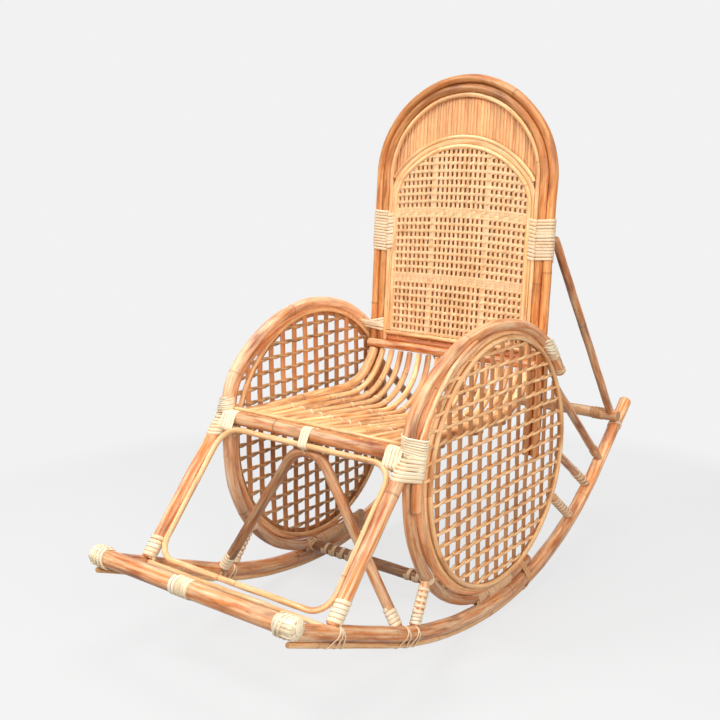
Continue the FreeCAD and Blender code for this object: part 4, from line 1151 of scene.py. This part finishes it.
# %% Woven panel
UPRIGHT_STRIP, UPRIGHT_STRIP_THICK = 7.7, 1.6
PLAIN_ROWS = (7, 16)
BROWN_COUNT, BROWN_PAST, BROWN_LAP, BROWN_THICK, BROWN_BEHIND = 33, 8.0, 1.04, 5.0, 2.6
BACKING_FOOT, SEAM_X, SEAM_POINTS = 526.0, 205.0, 80
ROUND_BEHIND = np.array([[-0.5, -0.5], [0.5, -0.5], [0.5, -0.2], [0.36, 0.2],
                         [0.14, 0.46], [-0.14, 0.46], [-0.36, 0.2], [-0.5, -0.2]])

weave = [back_strip(x, UPRIGHT_STRIP, UPRIGHT_STRIP_THICK, PANEL_FRONT, rng.normal(0.0, 0.05))
         for x in upright_places]
for index, w in enumerate(row_heights):
    weave += [twined(w, 1), twined(w, -1)]
    if index in PLAIN_ROWS:
        weave += [twined(w + lift * ROW_PITCH / 3, hand) for lift in (1, 2) for hand in (1, -1)]
dress("woven_panel", weave, WEAVE)
# Painted shade: brown strips behind the openings of the weave, so that these read dark from in front.
brown_half = panel_inside.half + BROWN_PAST
brown_places = np.linspace(-brown_half, brown_half, BROWN_COUNT)
brown_wide = BROWN_LAP * (brown_places[1] - brown_places[0])
brown = [back_strip(x, brown_wide, BROWN_THICK, BROWN_BEHIND, rng.normal(0.22, 0.11), BACKING_FOOT, 0.0,
                    ROUND_BEHIND) for x in brown_places]
seam = np.linspace(BACKING_FOOT - 18.0, TRIM.spring + 6.0, SEAM_POINTS)
seam_lines = [on_back(np.full(SEAM_POINTS, side * SEAM_X), seam, 3.0) for _, side in sides]
brown += [strip(path, 11.0, 1.6, X, -0.05) for path in seam_lines]
slot_shade_strips = make_object("woven_panel_brown_strips", brown, LATTICE)
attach(slot_shade_strips, "root")
print("faces of the weave", made["woven_panel_look"])

# %% [markdown]
# The seat is canes laid from front to back over three bent poles. Each cane runs down from the front rail,
# touches an arc at the back and bends up to the lower rail. The canes in the middle hang lowest, so the
# seat is a dish: its depth falls off with the square of the distance from the middle.

# %% Paths of the seat canes
SEAT_FRONT = np.array([-282.0, 428.0])
SEAT_SIDE_Z, SEAT_DISH, SEAT_HALF, SEAT_BEND = 421.0, 37.0, 215.0, 132.0
SEAT_R, SEAT_DROP = 7.0, 11.8


def seat_bend(x, radius):
    """Centre of a cane's rear bend, and where the cane ends under the lower rail."""
    rail = on_back(x, LOWER_W, -ARCH_GAP)
    end = np.array([rail[1] - (radius - SEAT_R), rail[2] - SEAT_DROP])
    centre_z = SEAT_SIDE_Z - SEAT_DISH * (1 - (x / SEAT_HALF) ** 2) + SEAT_BEND
    centre_y = end[0] - np.sqrt(SEAT_BEND ** 2 - (centre_z - end[1]) ** 2)
    return np.array([centre_y, centre_z]), end


def touch_point(start, centre, radius):
    """Where a line from start touches the underside of a circle."""
    away = centre - start
    reach = np.linalg.norm(away)
    heading = np.arctan2(away[1], away[0]) - np.arcsin(radius / reach)
    return start + np.sqrt(reach ** 2 - radius ** 2) * np.array([np.cos(heading), np.sin(heading)])


def seat_path(x, radius):
    """Straight run from the front rail, then the arc that bends up behind."""
    centre, end = seat_bend(x, radius)
    touch = touch_point(SEAT_FRONT, centre, SEAT_BEND)
    bend = side_arc(x, centre, SEAT_BEND, angle_of(touch, centre), angle_of(end, centre))
    return chain(line(np.array([x, *SEAT_FRONT]), bend[0]), bend)


def seat_height(x, y):
    """Height of a cane's middle line at y, read from its path."""
    path = seat_path(x, SEAT_R)
    return float(np.interp(y, path[:, 1], path[:, 2]))


print("the middle of the seat is", round(seat_height(0.0, 0.0)), "mm above the floor")

# %% [markdown]
# Fifteen canes and two stouter side rails follow those paths. Three bent poles carry them from below, and
# each is the arc through three points under the canes: at both sides and in the middle.

# %% Seat
SIDE_RAIL_R, SIDE_RAIL_X, SUPPORT_R = 11.0, 214.0, 9.0
SUPPORT_Y = (-142.0, 0.0, 92.0)
SEAT_PLACES = (np.arange(15) - 7) * 27.0

seat_tones = rng.normal(0.05, 0.10, len(SEAT_PLACES))
canes = [pole(seat_path(x, SEAT_R), SEAT_R, tone=tone, around=16) for x, tone in zip(SEAT_PLACES, seat_tones)]
dress("seat_canes", canes, SEAT)
for name, side in sides:
    side_rail = pole(seat_path(side * SIDE_RAIL_X, SIDE_RAIL_R), SIDE_RAIL_R, tone=0.04)
    dress("seat_side_rail_" + name, [side_rail], SEAT)


def support(y):
    """Bent pole under the canes: the arc through their undersides at both sides and in the middle."""
    drop = SEAT_R + SUPPORT_R + 2 * FIT
    ends = [(x, seat_height(x, y) - drop) for x in (-SIDE_RAIL_X, 0.0, SIDE_RAIL_X)]
    centre, radius = circle_through(*ends)
    first, last = angle_of(ends[0], centre), angle_of(ends[2], centre)
    bend = arc(np.array([centre[0], y, centre[1]]), radius, first, last, X, Z)
    return pole(chain(bend), SUPPORT_R, side=Y, tone=-0.1)


dress("seat_supports", [support(y) for y in SUPPORT_Y], POLE)
print("seat done,", len(made), "pieces")

# %% [markdown]
# Bindings are flat strips of split cane wound tight round one or more poles. Seen along the poles, the
# strip follows a belt: in each direction the pole that reaches furthest carries it. So the belt is worked
# out by asking every direction which circle wins. The strip then goes round that belt turn by turn while it
# moves along the poles.

# %% Belts round the poles
BELT_TURNS, BELT_POINTS, BELT_LEVELS = 721, 361, 6


def belt(circles):
    """Tight loop round circles given as x, y and radius: in each direction, the edge of the furthest."""
    direction = circle(np.linspace(0.0, 2 * np.pi, BELT_TURNS))
    best = circles[(direction @ circles[:, :2].T + circles[:, 2]).argmax(axis=1)]
    loop = best[:, :2] + best[:, 2:] * direction
    marks = lengths(loop)
    even = np.linspace(0.0, marks[-1], BELT_POINTS)
    return read_at(np.concatenate([loop, direction], axis=1), marks, even)


def belts(first, last):
    """Belts at even steps from the first circles to the last, each circle moving in a straight line."""
    first, last = np.asarray(first, float), np.asarray(last, float)
    return np.stack([belt(first + (last - first) * share) for share in np.linspace(0.0, 1.0, BELT_LEVELS)])


def read_table(table, along, around):
    """Values between the four nearest entries of a table, by shares along its rows and its columns."""
    level, column = along * (len(table) - 1), around * (table.shape[1] - 1)
    low = np.minimum(level.astype(int), len(table) - 2)
    left = np.minimum(column.astype(int), table.shape[1] - 2)
    up, over = (level - low)[:, None], (column - left)[:, None]
    near = table[low, left] * (1 - over) + table[low, left + 1] * over
    far = table[low + 1, left] * (1 - over) + table[low + 1, left + 1] * over
    return near * (1 - up) + far * up


pair = np.array([(-10.0, 0.0, 10.0), (10.0, 0.0, 10.0)])
print("a belt round two poles of 20 mm is", round(lengths(belt(pair)[:, :2])[-1]), "mm long")

# %% [markdown]
# A strip moves along the poles by its own width in each turn, and drifts a little, as a hand would wind it.
# Its place on the belt is read from the table by how far along and how far round it is. A slant shifts it
# along the poles with the place on the belt, which gives crossed lashings.

# %% Wound strips
TURN_POINTS, TURN_LAP, TURN_DRIFT = 56, 1.04, 0.06
WRAP_OUTLINE = np.array([[-0.5, 0.0], [0.5, 0.0], [0.46, 0.62], [0.24, 0.96], [-0.24, 0.96], [-0.46, 0.62]])


def by_turn(turn, turns, values):
    """Values given once a turn, read between the turns."""
    return np.interp(turn, np.arange(int(turns) + 2), values)


def wound(axis, circles, side, wide, thick=1.3, turns=None, start=0.0, slant=0.0, lean=0.0, tone=0.0, hand=1,
          last_circles=None, stain=0.0):
    """Flat strip that goes round the belt once a turn while it moves along the axis from end to end."""
    axis = chain(axis, step=2.0)
    marks = lengths(axis)
    turns = marks[-1] / (wide * TURN_LAP) if turns is None else turns
    turn = np.linspace(0.0, turns, int(turns * TURN_POINTS) + 1)
    drift = by_turn(turn, turns, rng.normal(0.0, TURN_DRIFT * wide, int(turns) + 2))
    moved = np.clip(turn / turns * marks[-1] + drift, 0.0, marks[-1])
    table = belts(circles, circles if last_circles is None else last_circles)
    read = read_table(table, moved / marks[-1], (hand * turn + start) % 1.0)
    place, outward = read[:, :2], unit(read[:, 2:])
    heading, across, up = (read_at(part, marks, moved) for part in section_axes(axis, side))
    middle = read_at(axis, marks, moved) + place[:, :1] * across + place[:, 1:] * up
    middle = middle + (slant * place[:, :1] + lean * place[:, 1:]) * heading
    proud = outward[:, :1] * across + outward[:, 1:] * up
    ahead = unit(np.gradient(middle, axis=0))
    width = unit(np.cross(proud, ahead))
    proud = np.cross(ahead, width)
    loose = 1.0 + by_turn(turn, turns, rng.uniform(-0.1, 0.04, int(turns) + 2))
    outline = WRAP_OUTLINE * np.stack([wide * loose, np.full(len(turn), thick)], -1)[:, None]
    rows = carried(middle, outline, width, proud)
    return skin(rows, lengths(middle), tone, np.full(len(turn), stain))


def straight_wrap(a, b, circles, wide, side=X, **settings):
    """Strip wound round poles that run from a to b."""
    return wound(line(a, b), circles, side, wide, **settings)


def pole_wrap(ends, first, last, radius, wide, side=X, **settings):
    """Strip wound round one pole between two distances from its first end."""
    heading = unit(ends[1] - ends[0])
    low, high = ends[0] + first * heading, ends[0] + last * heading
    return straight_wrap(low, high, [(0.0, 0.0, radius)], wide, side, **settings)


def cross_wrap(middle, first, last, radius, wide, **settings):
    """Strip wound round a pole that runs across the chair."""
    return straight_wrap(middle + first * X, middle + last * X, [(0.0, 0.0, radius)], wide, Z, **settings)


print("a strip has", TURN_POINTS, "points a turn")

# %% [markdown]
# The two front corners of the seat and the two sides of the back carry the largest bindings. A corner has
# two layers: fine strips above, round the hoop and the pole beside it, and broader ones below that take in
# the post as well. The back has broad strips round both legs and a narrower binding round the trim cane.

# %% Corner and back bindings
CORNER_X, CORNER_Y = 247.8, -290.0
FINE_LOW, FINE_HIGH, BROAD_LOW, BROAD_LONG = 406.0, 463.0, 381.0, 43.0
BROAD_LEAN = np.radians(11.0)
LEGS_X, TRIM_X, TRIM_FRONT = 222.85, 193.6, -3.5
LEGS_W, TRIM_W = (742.0, 834.0), (744.0, 832.0)


def corner_binding(side):
    """Fine strips round hoop and under-arm pole, over broad ones that also take in the top of the post."""
    middle = np.array([side * CORNER_X, CORNER_Y, 0.0])
    inner, outer, post = (side * (x - CORNER_X) for x in (HOOP_X, UNDER_X, POST_X))
    upper_low = [(inner, -2.4, 14.8), (outer, -4.0, 12.4)]
    upper_high = [(inner, -1.4, 13.6), (outer, 13.0, 10.8)]
    fine = straight_wrap(middle + FINE_LOW * Z, middle + FINE_HIGH * Z, upper_low, 4.6, thick=1.6, hand=-side,
                         slant=-0.18 * side, last_circles=upper_high)
    lift = np.array([0.0, np.sin(BROAD_LEAN), np.cos(BROAD_LEAN)])
    start = middle + BROAD_LOW * Z
    lower_low = [(inner, -2.4, 13.6), (outer, -7.3, 11.8), (post, -43.6, 15.0)]
    lower_high = [(inner, -10.2, 14.2), (outer, -6.7, 12.2), (post, -18.1, 14.6)]
    broad = straight_wrap(start, start + BROAD_LONG * lift, lower_low, 6.6, thick=1.8, hand=-side,
                          last_circles=lower_high)
    return [fine, broad]


for name, side in sides:
    dress("corner_binding_" + name, corner_binding(side), BINDING)
    low, high = (on_back(side * LEGS_X, w) for w in LEGS_W)
    legs = [(-ARCH_GAP / 2, 0.0, 10.9), (ARCH_GAP / 2, 0.0, 10.9)]
    main = straight_wrap(low, high, legs, 6.6, thick=1.6, hand=side, stain=0.3)
    low, high = (on_back(side * TRIM_X, w, TRIM_FRONT) for w in TRIM_W)
    trims = [(-side * 4.5, 0.0, 4.4), (side * 3.8, 0.0, 5.4)]
    narrow = straight_wrap(low, high, trims, 8.0, hand=-side, stain=0.3)
    dress("back_binding_" + name, [main, narrow], BINDING)
print("faces of the large bindings", made["corner_binding_left_look"], made["back_binding_left_look"])

# %% [markdown]
# Each end of the front bar is hidden by a knob of split cane. A closed core comes first, then turns round
# the bar, strips laid over the end like the ribs of a dome, a few slanting turns to hold those down, and a
# small swirl in the middle. The bar also has one plain binding near its middle.

# %% Bindings of the front bar
KNOB_R, KNOB_FROM, KNOB_AT, KNOB_DOME = BAR_R + 2.4, 222.0, 257.0, 7.0
KNOB_ROWS = 8
BAR_BAND = (-34.0, 12.0)
KNOB_INNER, KNOB_OUTER, KNOB_HOLD = 220.0, 258.0, 244.0
CAP_COUNT, CAP_DOME, SWIRL_PROUD = 6, 7.5, 2.6


def swirl(centre, outward, radius, wide, turns):
    """Flat spiral over a cut end: the radius falls evenly with the turn and the middle stands proud."""
    turn = np.linspace(0.0, turns, int(turns * TURN_POINTS) + 1)
    share = 1.0 - turn / turns
    flat = np.maximum(radius * share, 0.6)[:, None] * circle(2 * np.pi * turn)
    proud = SWIRL_PROUD * np.sqrt(np.maximum(1.0 - share ** 2, 0.0))
    path = centre + flat[:, :1] * Y + flat[:, 1:] * Z + proud[:, None] * outward
    ahead = unit(np.gradient(path, axis=0))
    width = unit(np.cross(np.broadcast_to(outward, path.shape), ahead))
    rows = carried(path, WRAP_OUTLINE * np.array([wide, 1.3]), width, np.cross(ahead, width))
    return skin(rows, lengths(path), 0.0)


def end_cap(centre, outward, angle, radius, reach, dome, wide):
    """Strip over a pole's end: along the pole, over half an ellipse and back along the other side."""
    across = np.cos(angle) * Y + np.sin(angle) * Z
    turn = np.linspace(0.0, np.pi, 33)[:, None]
    over = centre + radius * np.cos(turn) * across + dome * np.sin(turn) * outward
    path = chain(over[:1] - reach * outward, over, over[-1:] - reach * outward)
    return strip(path, wide, 1.6, np.cross(outward, across), rng.normal(0.0, 0.05))


def knob(side):
    """Closed core of a bound end: a circle along the bar, its radius falling as an ellipse past the cut."""
    past = np.sin(np.linspace(0.0, 0.97, 14) * np.pi / 2)
    reach = np.concatenate([np.linspace(KNOB_FROM, KNOB_AT - 2.0, KNOB_ROWS), KNOB_AT + KNOB_DOME * past])
    size = KNOB_R * np.concatenate([np.ones(KNOB_ROWS), np.sqrt(1.0 - past ** 2)])
    outline = circle(side * np.linspace(0.0, 2 * np.pi, 32, endpoint=False))
    middle = BAR + side * reach[:, None] * X
    across, up = (np.broadcast_to(axis, middle.shape) for axis in (Y, Z))
    return skin(carried(middle, outline * size[:, None, None], across, up), lengths(middle), -0.06)


bar_bands = [knob(side) for _, side in sides]
bar_bands.append(cross_wrap(BAR, *BAR_BAND, BAR_R + 0.5, 7.6, thick=1.4, slant=0.12))
for _, side in sides:
    inner, tip = side * KNOB_INNER, BAR + side * KNOB_AT * X
    bar_bands.append(cross_wrap(BAR, inner, side * KNOB_OUTER, BAR_R + 0.5, 5.2, thick=1.6))
    for angle in np.radians(np.arange(CAP_COUNT) * 30.0 + 8.0 * rng.uniform(-1.0, 1.0, CAP_COUNT)):
        reach = rng.uniform(20.0, 34.0)
        bar_bands.append(end_cap(tip, side * X, angle, BAR_R + 2.6, reach, CAP_DOME, 6.0))
    bar_bands.append(cross_wrap(BAR, inner, side * KNOB_HOLD, BAR_R + 3.4, 4.6, thick=1.4, turns=2.6, hand=-1,
                                slant=0.2))
    bar_bands.append(swirl(tip + 6.6 * side * X, side * X, 9.0, 4.6, 2.5))
dress("bar_bindings", bar_bands, BINDING)
print("strips on the front bar", len(bar_bands))

# %% [markdown]
# Posts and brace stand on the rockers, and a strip winds up each foot. From there single strands go down
# round the rocker and its wear strip. They start together on top and lean apart below, so they are one turn
# each with a lean.

# %% Bindings of the feet
STRAND_TURN = 1.05


def rocker_strands(side, y, leans, wide=3.8, stain=0.15):
    """Single turns round a rocker and its wear strip that start together on top and lean apart below."""
    x = side * ROCKER_X
    heading = unit(rocker_at(x, y - 3.0) - rocker_at(x, y + 3.0))
    circles = [(0.0, 0.0, ROCKER_R + 0.4), (0.0, -ROCKER_R - STRIP_R, STRIP_R + 0.3)]
    starts = [rocker_at(x, y) - (ROCKER_R * lean + 1.0) * heading for lean in leans]
    return [straight_wrap(start, start + 2.0 * heading, circles, wide, turns=STRAND_TURN, start=0.25,
                          lean=lean, stain=stain) for start, lean in zip(starts, leans)]


foot_bands = []
for _, side in sides:
    path = post_path(side)
    foot_bands.append(pole_wrap((path[0], path[-1]), 2.0, 47.0, POST_R + 0.3, 8.4))
    foot_bands += rocker_strands(side, POST_FOOT[1] - 2.0, (-0.5, 0.1, 0.6))
    foot_bands += rocker_strands(side, BRACE_FOOT_Y, (-0.4, 0.3))
brace = brace_path()
for ends in ((brace[0], brace[60]), (brace[-1], brace[-61])):
    foot_bands.append(pole_wrap(ends, 12.0, 50.0, BRACE_R + 0.3, 8.0, side=Y, stain=0.1))
dress("foot_bindings", foot_bands, BINDING)
print("strips on the feet", len(foot_bands))

# %% [markdown]
# The short props are bound in different ways: the front one has spaced rings with a close winding at its
# foot and a lashing to the hoop, and the three rear ones have close windings of different length, some
# stained dark.

# %% Bindings of the props
STRUT_WRAPS = ((0.84, 0.90, 2.0, 0.8), (0.52, 0.87, 4.0, 0.12), (0.14, 0.90, 7.5, 0.3))
RING_STEP, RING_FROM, RING_SHARE = 11.0, 20.0, 0.66
TAIL_TIE = (85.0, 76.0)
CROSSBAR_BAND = (194.0, 224.0)

strut_bands = []
for _, side in sides:
    ends = spacer_ends(side)
    reach = np.linalg.norm(ends[1] - ends[0])
    marks = np.arange(RING_FROM, RING_SHARE * reach, RING_STEP)
    strut_bands += [pole_wrap(ends, at, at + 4.0, SPACER_R + 0.3, 7.2, turns=1.2, start=0.25, stain=0.1)
                    for at in marks]
    strut_bands.append(pole_wrap(ends, marks[-1] + 10.0, reach - 17.0, SPACER_R + 0.4, 6.4))
    top = ends[0]
    bend = 6.0 * unit(np.array([0.0, HOOP_LOW_Z - top[2], top[1]]))
    round_hoop = [(0.0, 0.0, HOOP_R + 0.4)]
    strut_bands.append(straight_wrap(top - bend, top + bend, round_hoop, 4.4, turns=2.6, slant=0.3,
                                     stain=0.35))
    strut_bands += rocker_strands(side, SPACER_FOOT_Y, (-0.35, 0.15))
    for index, (first, last, turns, stain) in enumerate(STRUT_WRAPS):
        ends = strut_ends(side, index)
        run = np.linalg.norm(ends[1] - ends[0])
        strut_bands.append(pole_wrap(ends, first * run, last * run, STRUT_R + 0.3, 9.0, turns=turns,
                                     thick=1.5, hand=-side, stain=stain))
    tail = rocker_path(side * ROCKER_X)
    low, high = (tail[-1] - back * unit(tail[-1] - tail[-2]) for back in TAIL_TIE)
    strut_bands.append(straight_wrap(low, high, [(0.0, 0.0, ROCKER_R + 0.3)], 5.0, turns=1.8, slant=0.3))
    first, last = (side * x for x in CROSSBAR_BAND)
    strut_bands.append(cross_wrap(crossbar, first, last, CROSSBAR_R + 0.2, 7.0, stain=0.8, tone=-0.1))
dress("strut_wraps", strut_bands, BINDING)
print("strips on the props", len(strut_bands))

# %% [markdown]
# An arm is lashed to the back by two strips that cross. The arm slopes past the upright legs, so the
# strip's belt moves with it: the arm's circle is further forward at the top of the lashing than at the
# foot. Two bindings more go round the arm's free end.

# %% Bindings of the arms
ARM_SLOPE, ARM_OUT, ARM_SPREAD = 1.17, 22.2, 5.7
ARM_DEPTHS, ARM_LASH = (3.0, -22.8), (546.0, 568.0)

arm_bands = []
for _, side in sides:
    round_arm = [(0.0, 0.0, HOOP_R + 0.3)]
    arm_bands.append(wound(arm_path(side, 32.0, 34.0), round_arm, X, 5.0, turns=1.9, stain=0.3))
    arm_bands.append(wound(arm_path(side, 41.0, 52.0), round_arm, X, 6.4, stain=0.35))
    low, high = (on_back(side * OUTER.half, w) for w in ARM_LASH)
    legs = [(0.0, 0.0, 10.6), (-side * ARCH_GAP, 0.0, 10.6)]
    for slant in (-0.22, 0.22):
        arm_low, arm_high = (
            [(side * ARM_OUT, depth - ARM_SLOPE * ARM_OUT * slant + shift, 13.2)
             for shift in (-ARM_SPREAD, ARM_SPREAD)]
            for depth in ARM_DEPTHS)
        arm_bands.append(straight_wrap(low, high, legs + arm_low, 6.0, turns=3.2, thick=1.4,
                                       slant=slant * side, last_circles=legs + arm_high))
dress("arm_bindings", arm_bands, BINDING)
print("strips on the arms", len(arm_bands))

# %% [markdown]
# Three ties hold the thin loop under the seat rail, and one holds it to the top of the brace. Each belt
# takes in two circles, the pole and the loop beside it.

# %% Ties of the seat rail
TIE_PLACES = ((-234.0, -198.0), (-12.0, 12.0), (198.0, 234.0))


def with_loop(middle, radius, loose):
    """Circles of a pole across the chair and of the thin loop beside it."""
    return [(0.0, 0.0, radius), (LOOP_HIGH[1] - middle[1], LOOP_HIGH[2] - middle[2], LOOP_R + loose)]


round_rail = with_loop(RAIL, RAIL_R + 0.4, 0.6)
ties = [straight_wrap(RAIL + first * X, RAIL + last * X, round_rail, 7.4, Y, thick=1.5)
        for first, last in TIE_PLACES]
apex = np.array([0.0, *BRACE_APEX])
round_apex = with_loop(apex, BRACE_R + 0.3, 0.4)
ties.append(straight_wrap(apex - 4.0 * X, apex + 4.0 * X, round_apex, 5.0, Y, stain=0.4))
dress("rail_ties", ties, BINDING)
print("ties on the rail", len(ties))

# %% [markdown]
# The stretcher is ringed by single slanting turns, and crossed lashings hold its ends to the hoops. Further
# back each hoop is bound to its rocker, and its end is wrapped where it lies along the rocker. These are
# old and stained.

# %% Lashings of stretcher and hoops
STRETCHER_RINGS = np.arange(60.0, 200.0, 24.0)
STRETCHER_END, HOOP_LASH_Z, LASH_HALF = (213.0, 230.0), 53.0, 12.0 * Y
ROCKER_LASH, TAIL_WRAP = (11.7, 10.3), (-83.3, -90.8)
CROSSED = (-0.6, 0.6)

wraps = []
for _, side in sides:
    for at in side * STRETCHER_RINGS:
        wraps.append(cross_wrap(STRETCHER, at - 5.0, at + 5.0, STRETCHER_R + 0.3, 9.5, turns=1.15, start=0.2,
                                slant=0.2, stain=0.25))
    first, last = (side * x for x in STRETCHER_END)
    for slant in CROSSED:
        wraps.append(cross_wrap(STRETCHER, first, last, STRETCHER_R + 0.6, 6.0, turns=2.3, slant=slant,
                                stain=0.45))
    end = np.array([side * HOOP_X, STRETCHER[1], HOOP_LASH_Z])
    for slant in CROSSED:
        wraps.append(straight_wrap(end + LASH_HALF, end - LASH_HALF, [(0.0, 0.0, HOOP_R + 0.5)], 7.0,
                                   turns=3.0, slant=slant, stain=0.6))
dress("stretcher_wraps", wraps, BINDING)

lashings = []
for _, side in sides:
    first, last = (rocker_mark(side * ROCKER_X, turn) for turn in ROCKER_LASH)
    around = [(0.0, 0.0, ROCKER_R + 0.4), (0.0, -ROCKER_R - STRIP_R, STRIP_R + 0.3),
              (-side * (ROCKER_X - HOOP_X), HOOP_RISE, HOOP_R + 0.4)]
    lashings.append(straight_wrap(first, last, around, 6.0, thick=1.4, stain=0.85))
    tail = side_arc(side * HOOP_X, TAIL_CENTRE, TAIL_R, *TAIL_WRAP)
    lashings.append(wound(tail, [(0.0, 0.0, HOOP_R + 0.4)], X, 5.4, thick=1.4, stain=0.6, tone=0.08))
dress("rocker_lashings", lashings, BINDING)
print("lashings below", len(wraps) + len(lashings))

# %% [markdown]
# Each seat cane is held to each support by one turn of narrow strip, and every tie slants a little
# differently. The direction of the cane at that place is read from its height a few millimetres on either
# side.

# %% Seat ties
TIE_HALF, TIE_WIDE, SLOPE_STEP = 2.6, 4.2, 4.0

seat_bands = []
for y in SUPPORT_Y:
    for x in SEAT_PLACES:
        middle = np.array([x, y, seat_height(x, y)])
        climb = seat_height(x, y + SLOPE_STEP) - seat_height(x, y - SLOPE_STEP)
        half = TIE_HALF * unit(np.array([0.0, 2 * SLOPE_STEP, climb]))
        seat_bands.append(straight_wrap(middle - half, middle + half, [(0.0, 0.0, SEAT_R + 0.2)], TIE_WIDE,
                                        thick=1.0, turns=1.15, start=0.62, slant=rng.uniform(-0.5, 0.5)))
dress("seat_ties", seat_bands, BINDING)
print("bindings done,", len(made), "pieces,", sum(made.values()), "faces")

# %% [markdown]
# From behind, the ends of the brown strips would show as steps under the arch. A thin cane bent along the
# same arch lies over them, so the weave is held between a cane in front and one behind.

# %% Cane behind the panel
REAR_CANE_OUT, REAR_CANE_BEHIND, REAR_CANE_R = 8.0, 5.5, 5.0

rear_path = PANEL.moved(REAR_CANE_OUT).path(BACKING_FOOT + 4.0, REAR_CANE_BEHIND)
rear_cane_piece = make_object("panel_rear_cane", [thin_arch(rear_path, REAR_CANE_R, -0.08, 14)], THIN)
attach(rear_cane_piece, "root")
print("rear cane", round(lengths(rear_path)[-1]), "mm long")

# %% [markdown]
# A product photograph has a pale sweep under and behind the object. The floor is a disc. Near the chair it
# keeps a part of its shadow, and further out an even pale tone takes over, so no horizon shows. That tone
# is only for what looks at the floor, by camera or reflection, and the light that the floor gives back to
# the chair stays plain.

# %% Floor
PALE = paint(242, 242, 242)
FLOOR_R, FLOOR_HOLE, FLOOR_RINGS, FLOOR_SPOKES = 9.0, 0.3, 12, 96
FLOOR_GLOW, GLOW_FROM, GLOW_TO = 0.82, 0.3, 1.5


def floor_disc():
    """Disc of the floor: rings of points whose radius falls evenly, about one point in the middle."""
    rim = circle(np.linspace(0.0, 2 * np.pi, FLOOR_SPOKES, endpoint=False))
    flat = (np.linspace(FLOOR_R, FLOOR_HOLE, FLOOR_RINGS)[:, None, None] * rim).reshape(-1, 2)
    verts = np.pad(flat, ((0, 1), (0, 1)))
    quads = ring_faces(FLOOR_RINGS, FLOOR_SPOKES)[2].reshape(-1, 4)
    inner = quads[-FLOOR_SPOKES:, [3, 2]]
    tris = np.pad(inner, ((0, 0), (0, 1)), constant_values=len(verts) - 1)
    mesh = bpy.data.meshes.new("floor")
    mesh.from_pydata(verts.tolist(), [], quads.tolist() + tris.tolist())
    disc = bpy.data.objects.new("floor", mesh)
    bpy.context.scene.collection.objects.link(disc)
    return disc


def floor_finish():
    """Matt floor that keeps the shadow, mixed for what is seen with a glow that takes over far out."""
    finish = Finish("pale_floor")
    seen = finish.seen()
    tone = finish.mix(seen, paint(150, 146, 140), paint(214, 214, 214))
    finish.join(tone, finish.shader.inputs["Base Color"])
    finish.shader.inputs["Roughness"].default_value = 0.9
    finish.shader.inputs["Specular IOR Level"].default_value = 0.0
    far = finish.add("ShaderNodeVectorMath", operation="LENGTH")
    finish.join(finish.add("ShaderNodeTexCoord").outputs["Object"], far.inputs[0])
    glow = finish.add("ShaderNodeEmission")
    glow.inputs["Color"].default_value = PALE
    even = finish.sums("MAXIMUM", finish.span(far.outputs["Value"], GLOW_FROM, GLOW_TO), FLOOR_GLOW)
    share = finish.sums("MULTIPLY", even, seen)
    surface = finish.blend(share, finish.shader.outputs[0], glow.outputs[0])
    finish.join(surface, finish.tree.nodes["Material Output"].inputs["Surface"])
    return finish.material


floor = floor_disc()
floor.data.materials.append(floor_finish())
print("the floor has", len(floor.data.polygons), "faces")

# %% [markdown]
# The light is plain and soft: a weak white sky from all round, and three square lamps as broad as studio
# boxes. The lamps are strong enough that a colour comes out about as it is written, and no stronger. What
# is seen of the sky itself has the floor's pale tone.

# %% Sky and lamps
SKY_LIGHT = 0.2

world = bpy.data.worlds.new("studio")
bpy.context.scene.world = world
world.use_nodes = True
sky = Nodes(world.node_tree)
light = sky.tree.nodes["Background"]
light.inputs["Color"].default_value = (1.0, 1.0, 1.0, 1.0)
light.inputs["Strength"].default_value = SKY_LIGHT
backdrop = sky.add("ShaderNodeBackground")
backdrop.inputs["Color"].default_value = PALE
sky_surface = sky.blend(sky.seen(), light.outputs[0], backdrop.outputs[0])
sky.join(sky_surface, sky.tree.nodes["World Output"].inputs["Surface"])


def softbox(name, place, target, size, power):
    """Square lamp that faces a point: its own minus Z axis is turned to the target."""
    lamp = bpy.data.lights.new(name, "AREA")
    lamp.size = size
    lamp.energy = power
    holder = bpy.data.objects.new(name, lamp)
    holder.location = place
    away = unit(np.array(place) - np.array(target))
    holder.rotation_euler = (np.arccos(away[2]), 0.0, np.arctan2(away[1], away[0]) + np.pi / 2)
    bpy.context.scene.collection.objects.link(holder)


softbox("key_lamp", (-1.6, -2.6, 3.0), (0.0, 0.0, 0.55), 1.3, 96.0)
softbox("fill_lamp", (2.9, -1.9, 2.0), (0.0, 0.0, 0.5), 1.6, 88.0)
softbox("top_lamp", (0.2, -0.3, 3.6), (0.0, 0.0, 0.5), 2.0, 66.0)
print("lamps", len(bpy.data.lights))

# %% [markdown]
# The camera stands where the photograph was taken from. Its place, its tilt and its lens come from one fit
# of the chair's proportions to the picture, so the lens is given by the focal length in pixels of a square
# image.

# %% Camera
IMAGE = 720.0
FOCAL_PIXELS = 1039.3
SENSOR = 36.0
camera_data = bpy.data.cameras.new("camera")
camera_data.sensor_width = SENSOR
camera_data.lens = FOCAL_PIXELS / IMAGE * SENSOR
camera = bpy.data.objects.new("camera", camera_data)
camera.location = (1.3178, -1.8012, 0.9940)
camera.rotation_euler = (np.radians(90.0 - 11.8), 0.0, np.radians(38.4))
bpy.context.scene.collection.objects.link(camera)
bpy.context.scene.camera = camera
bpy.context.scene.view_settings.view_transform = "Standard"
print("lens", round(camera_data.lens, 1), "mm")

# %% [markdown]
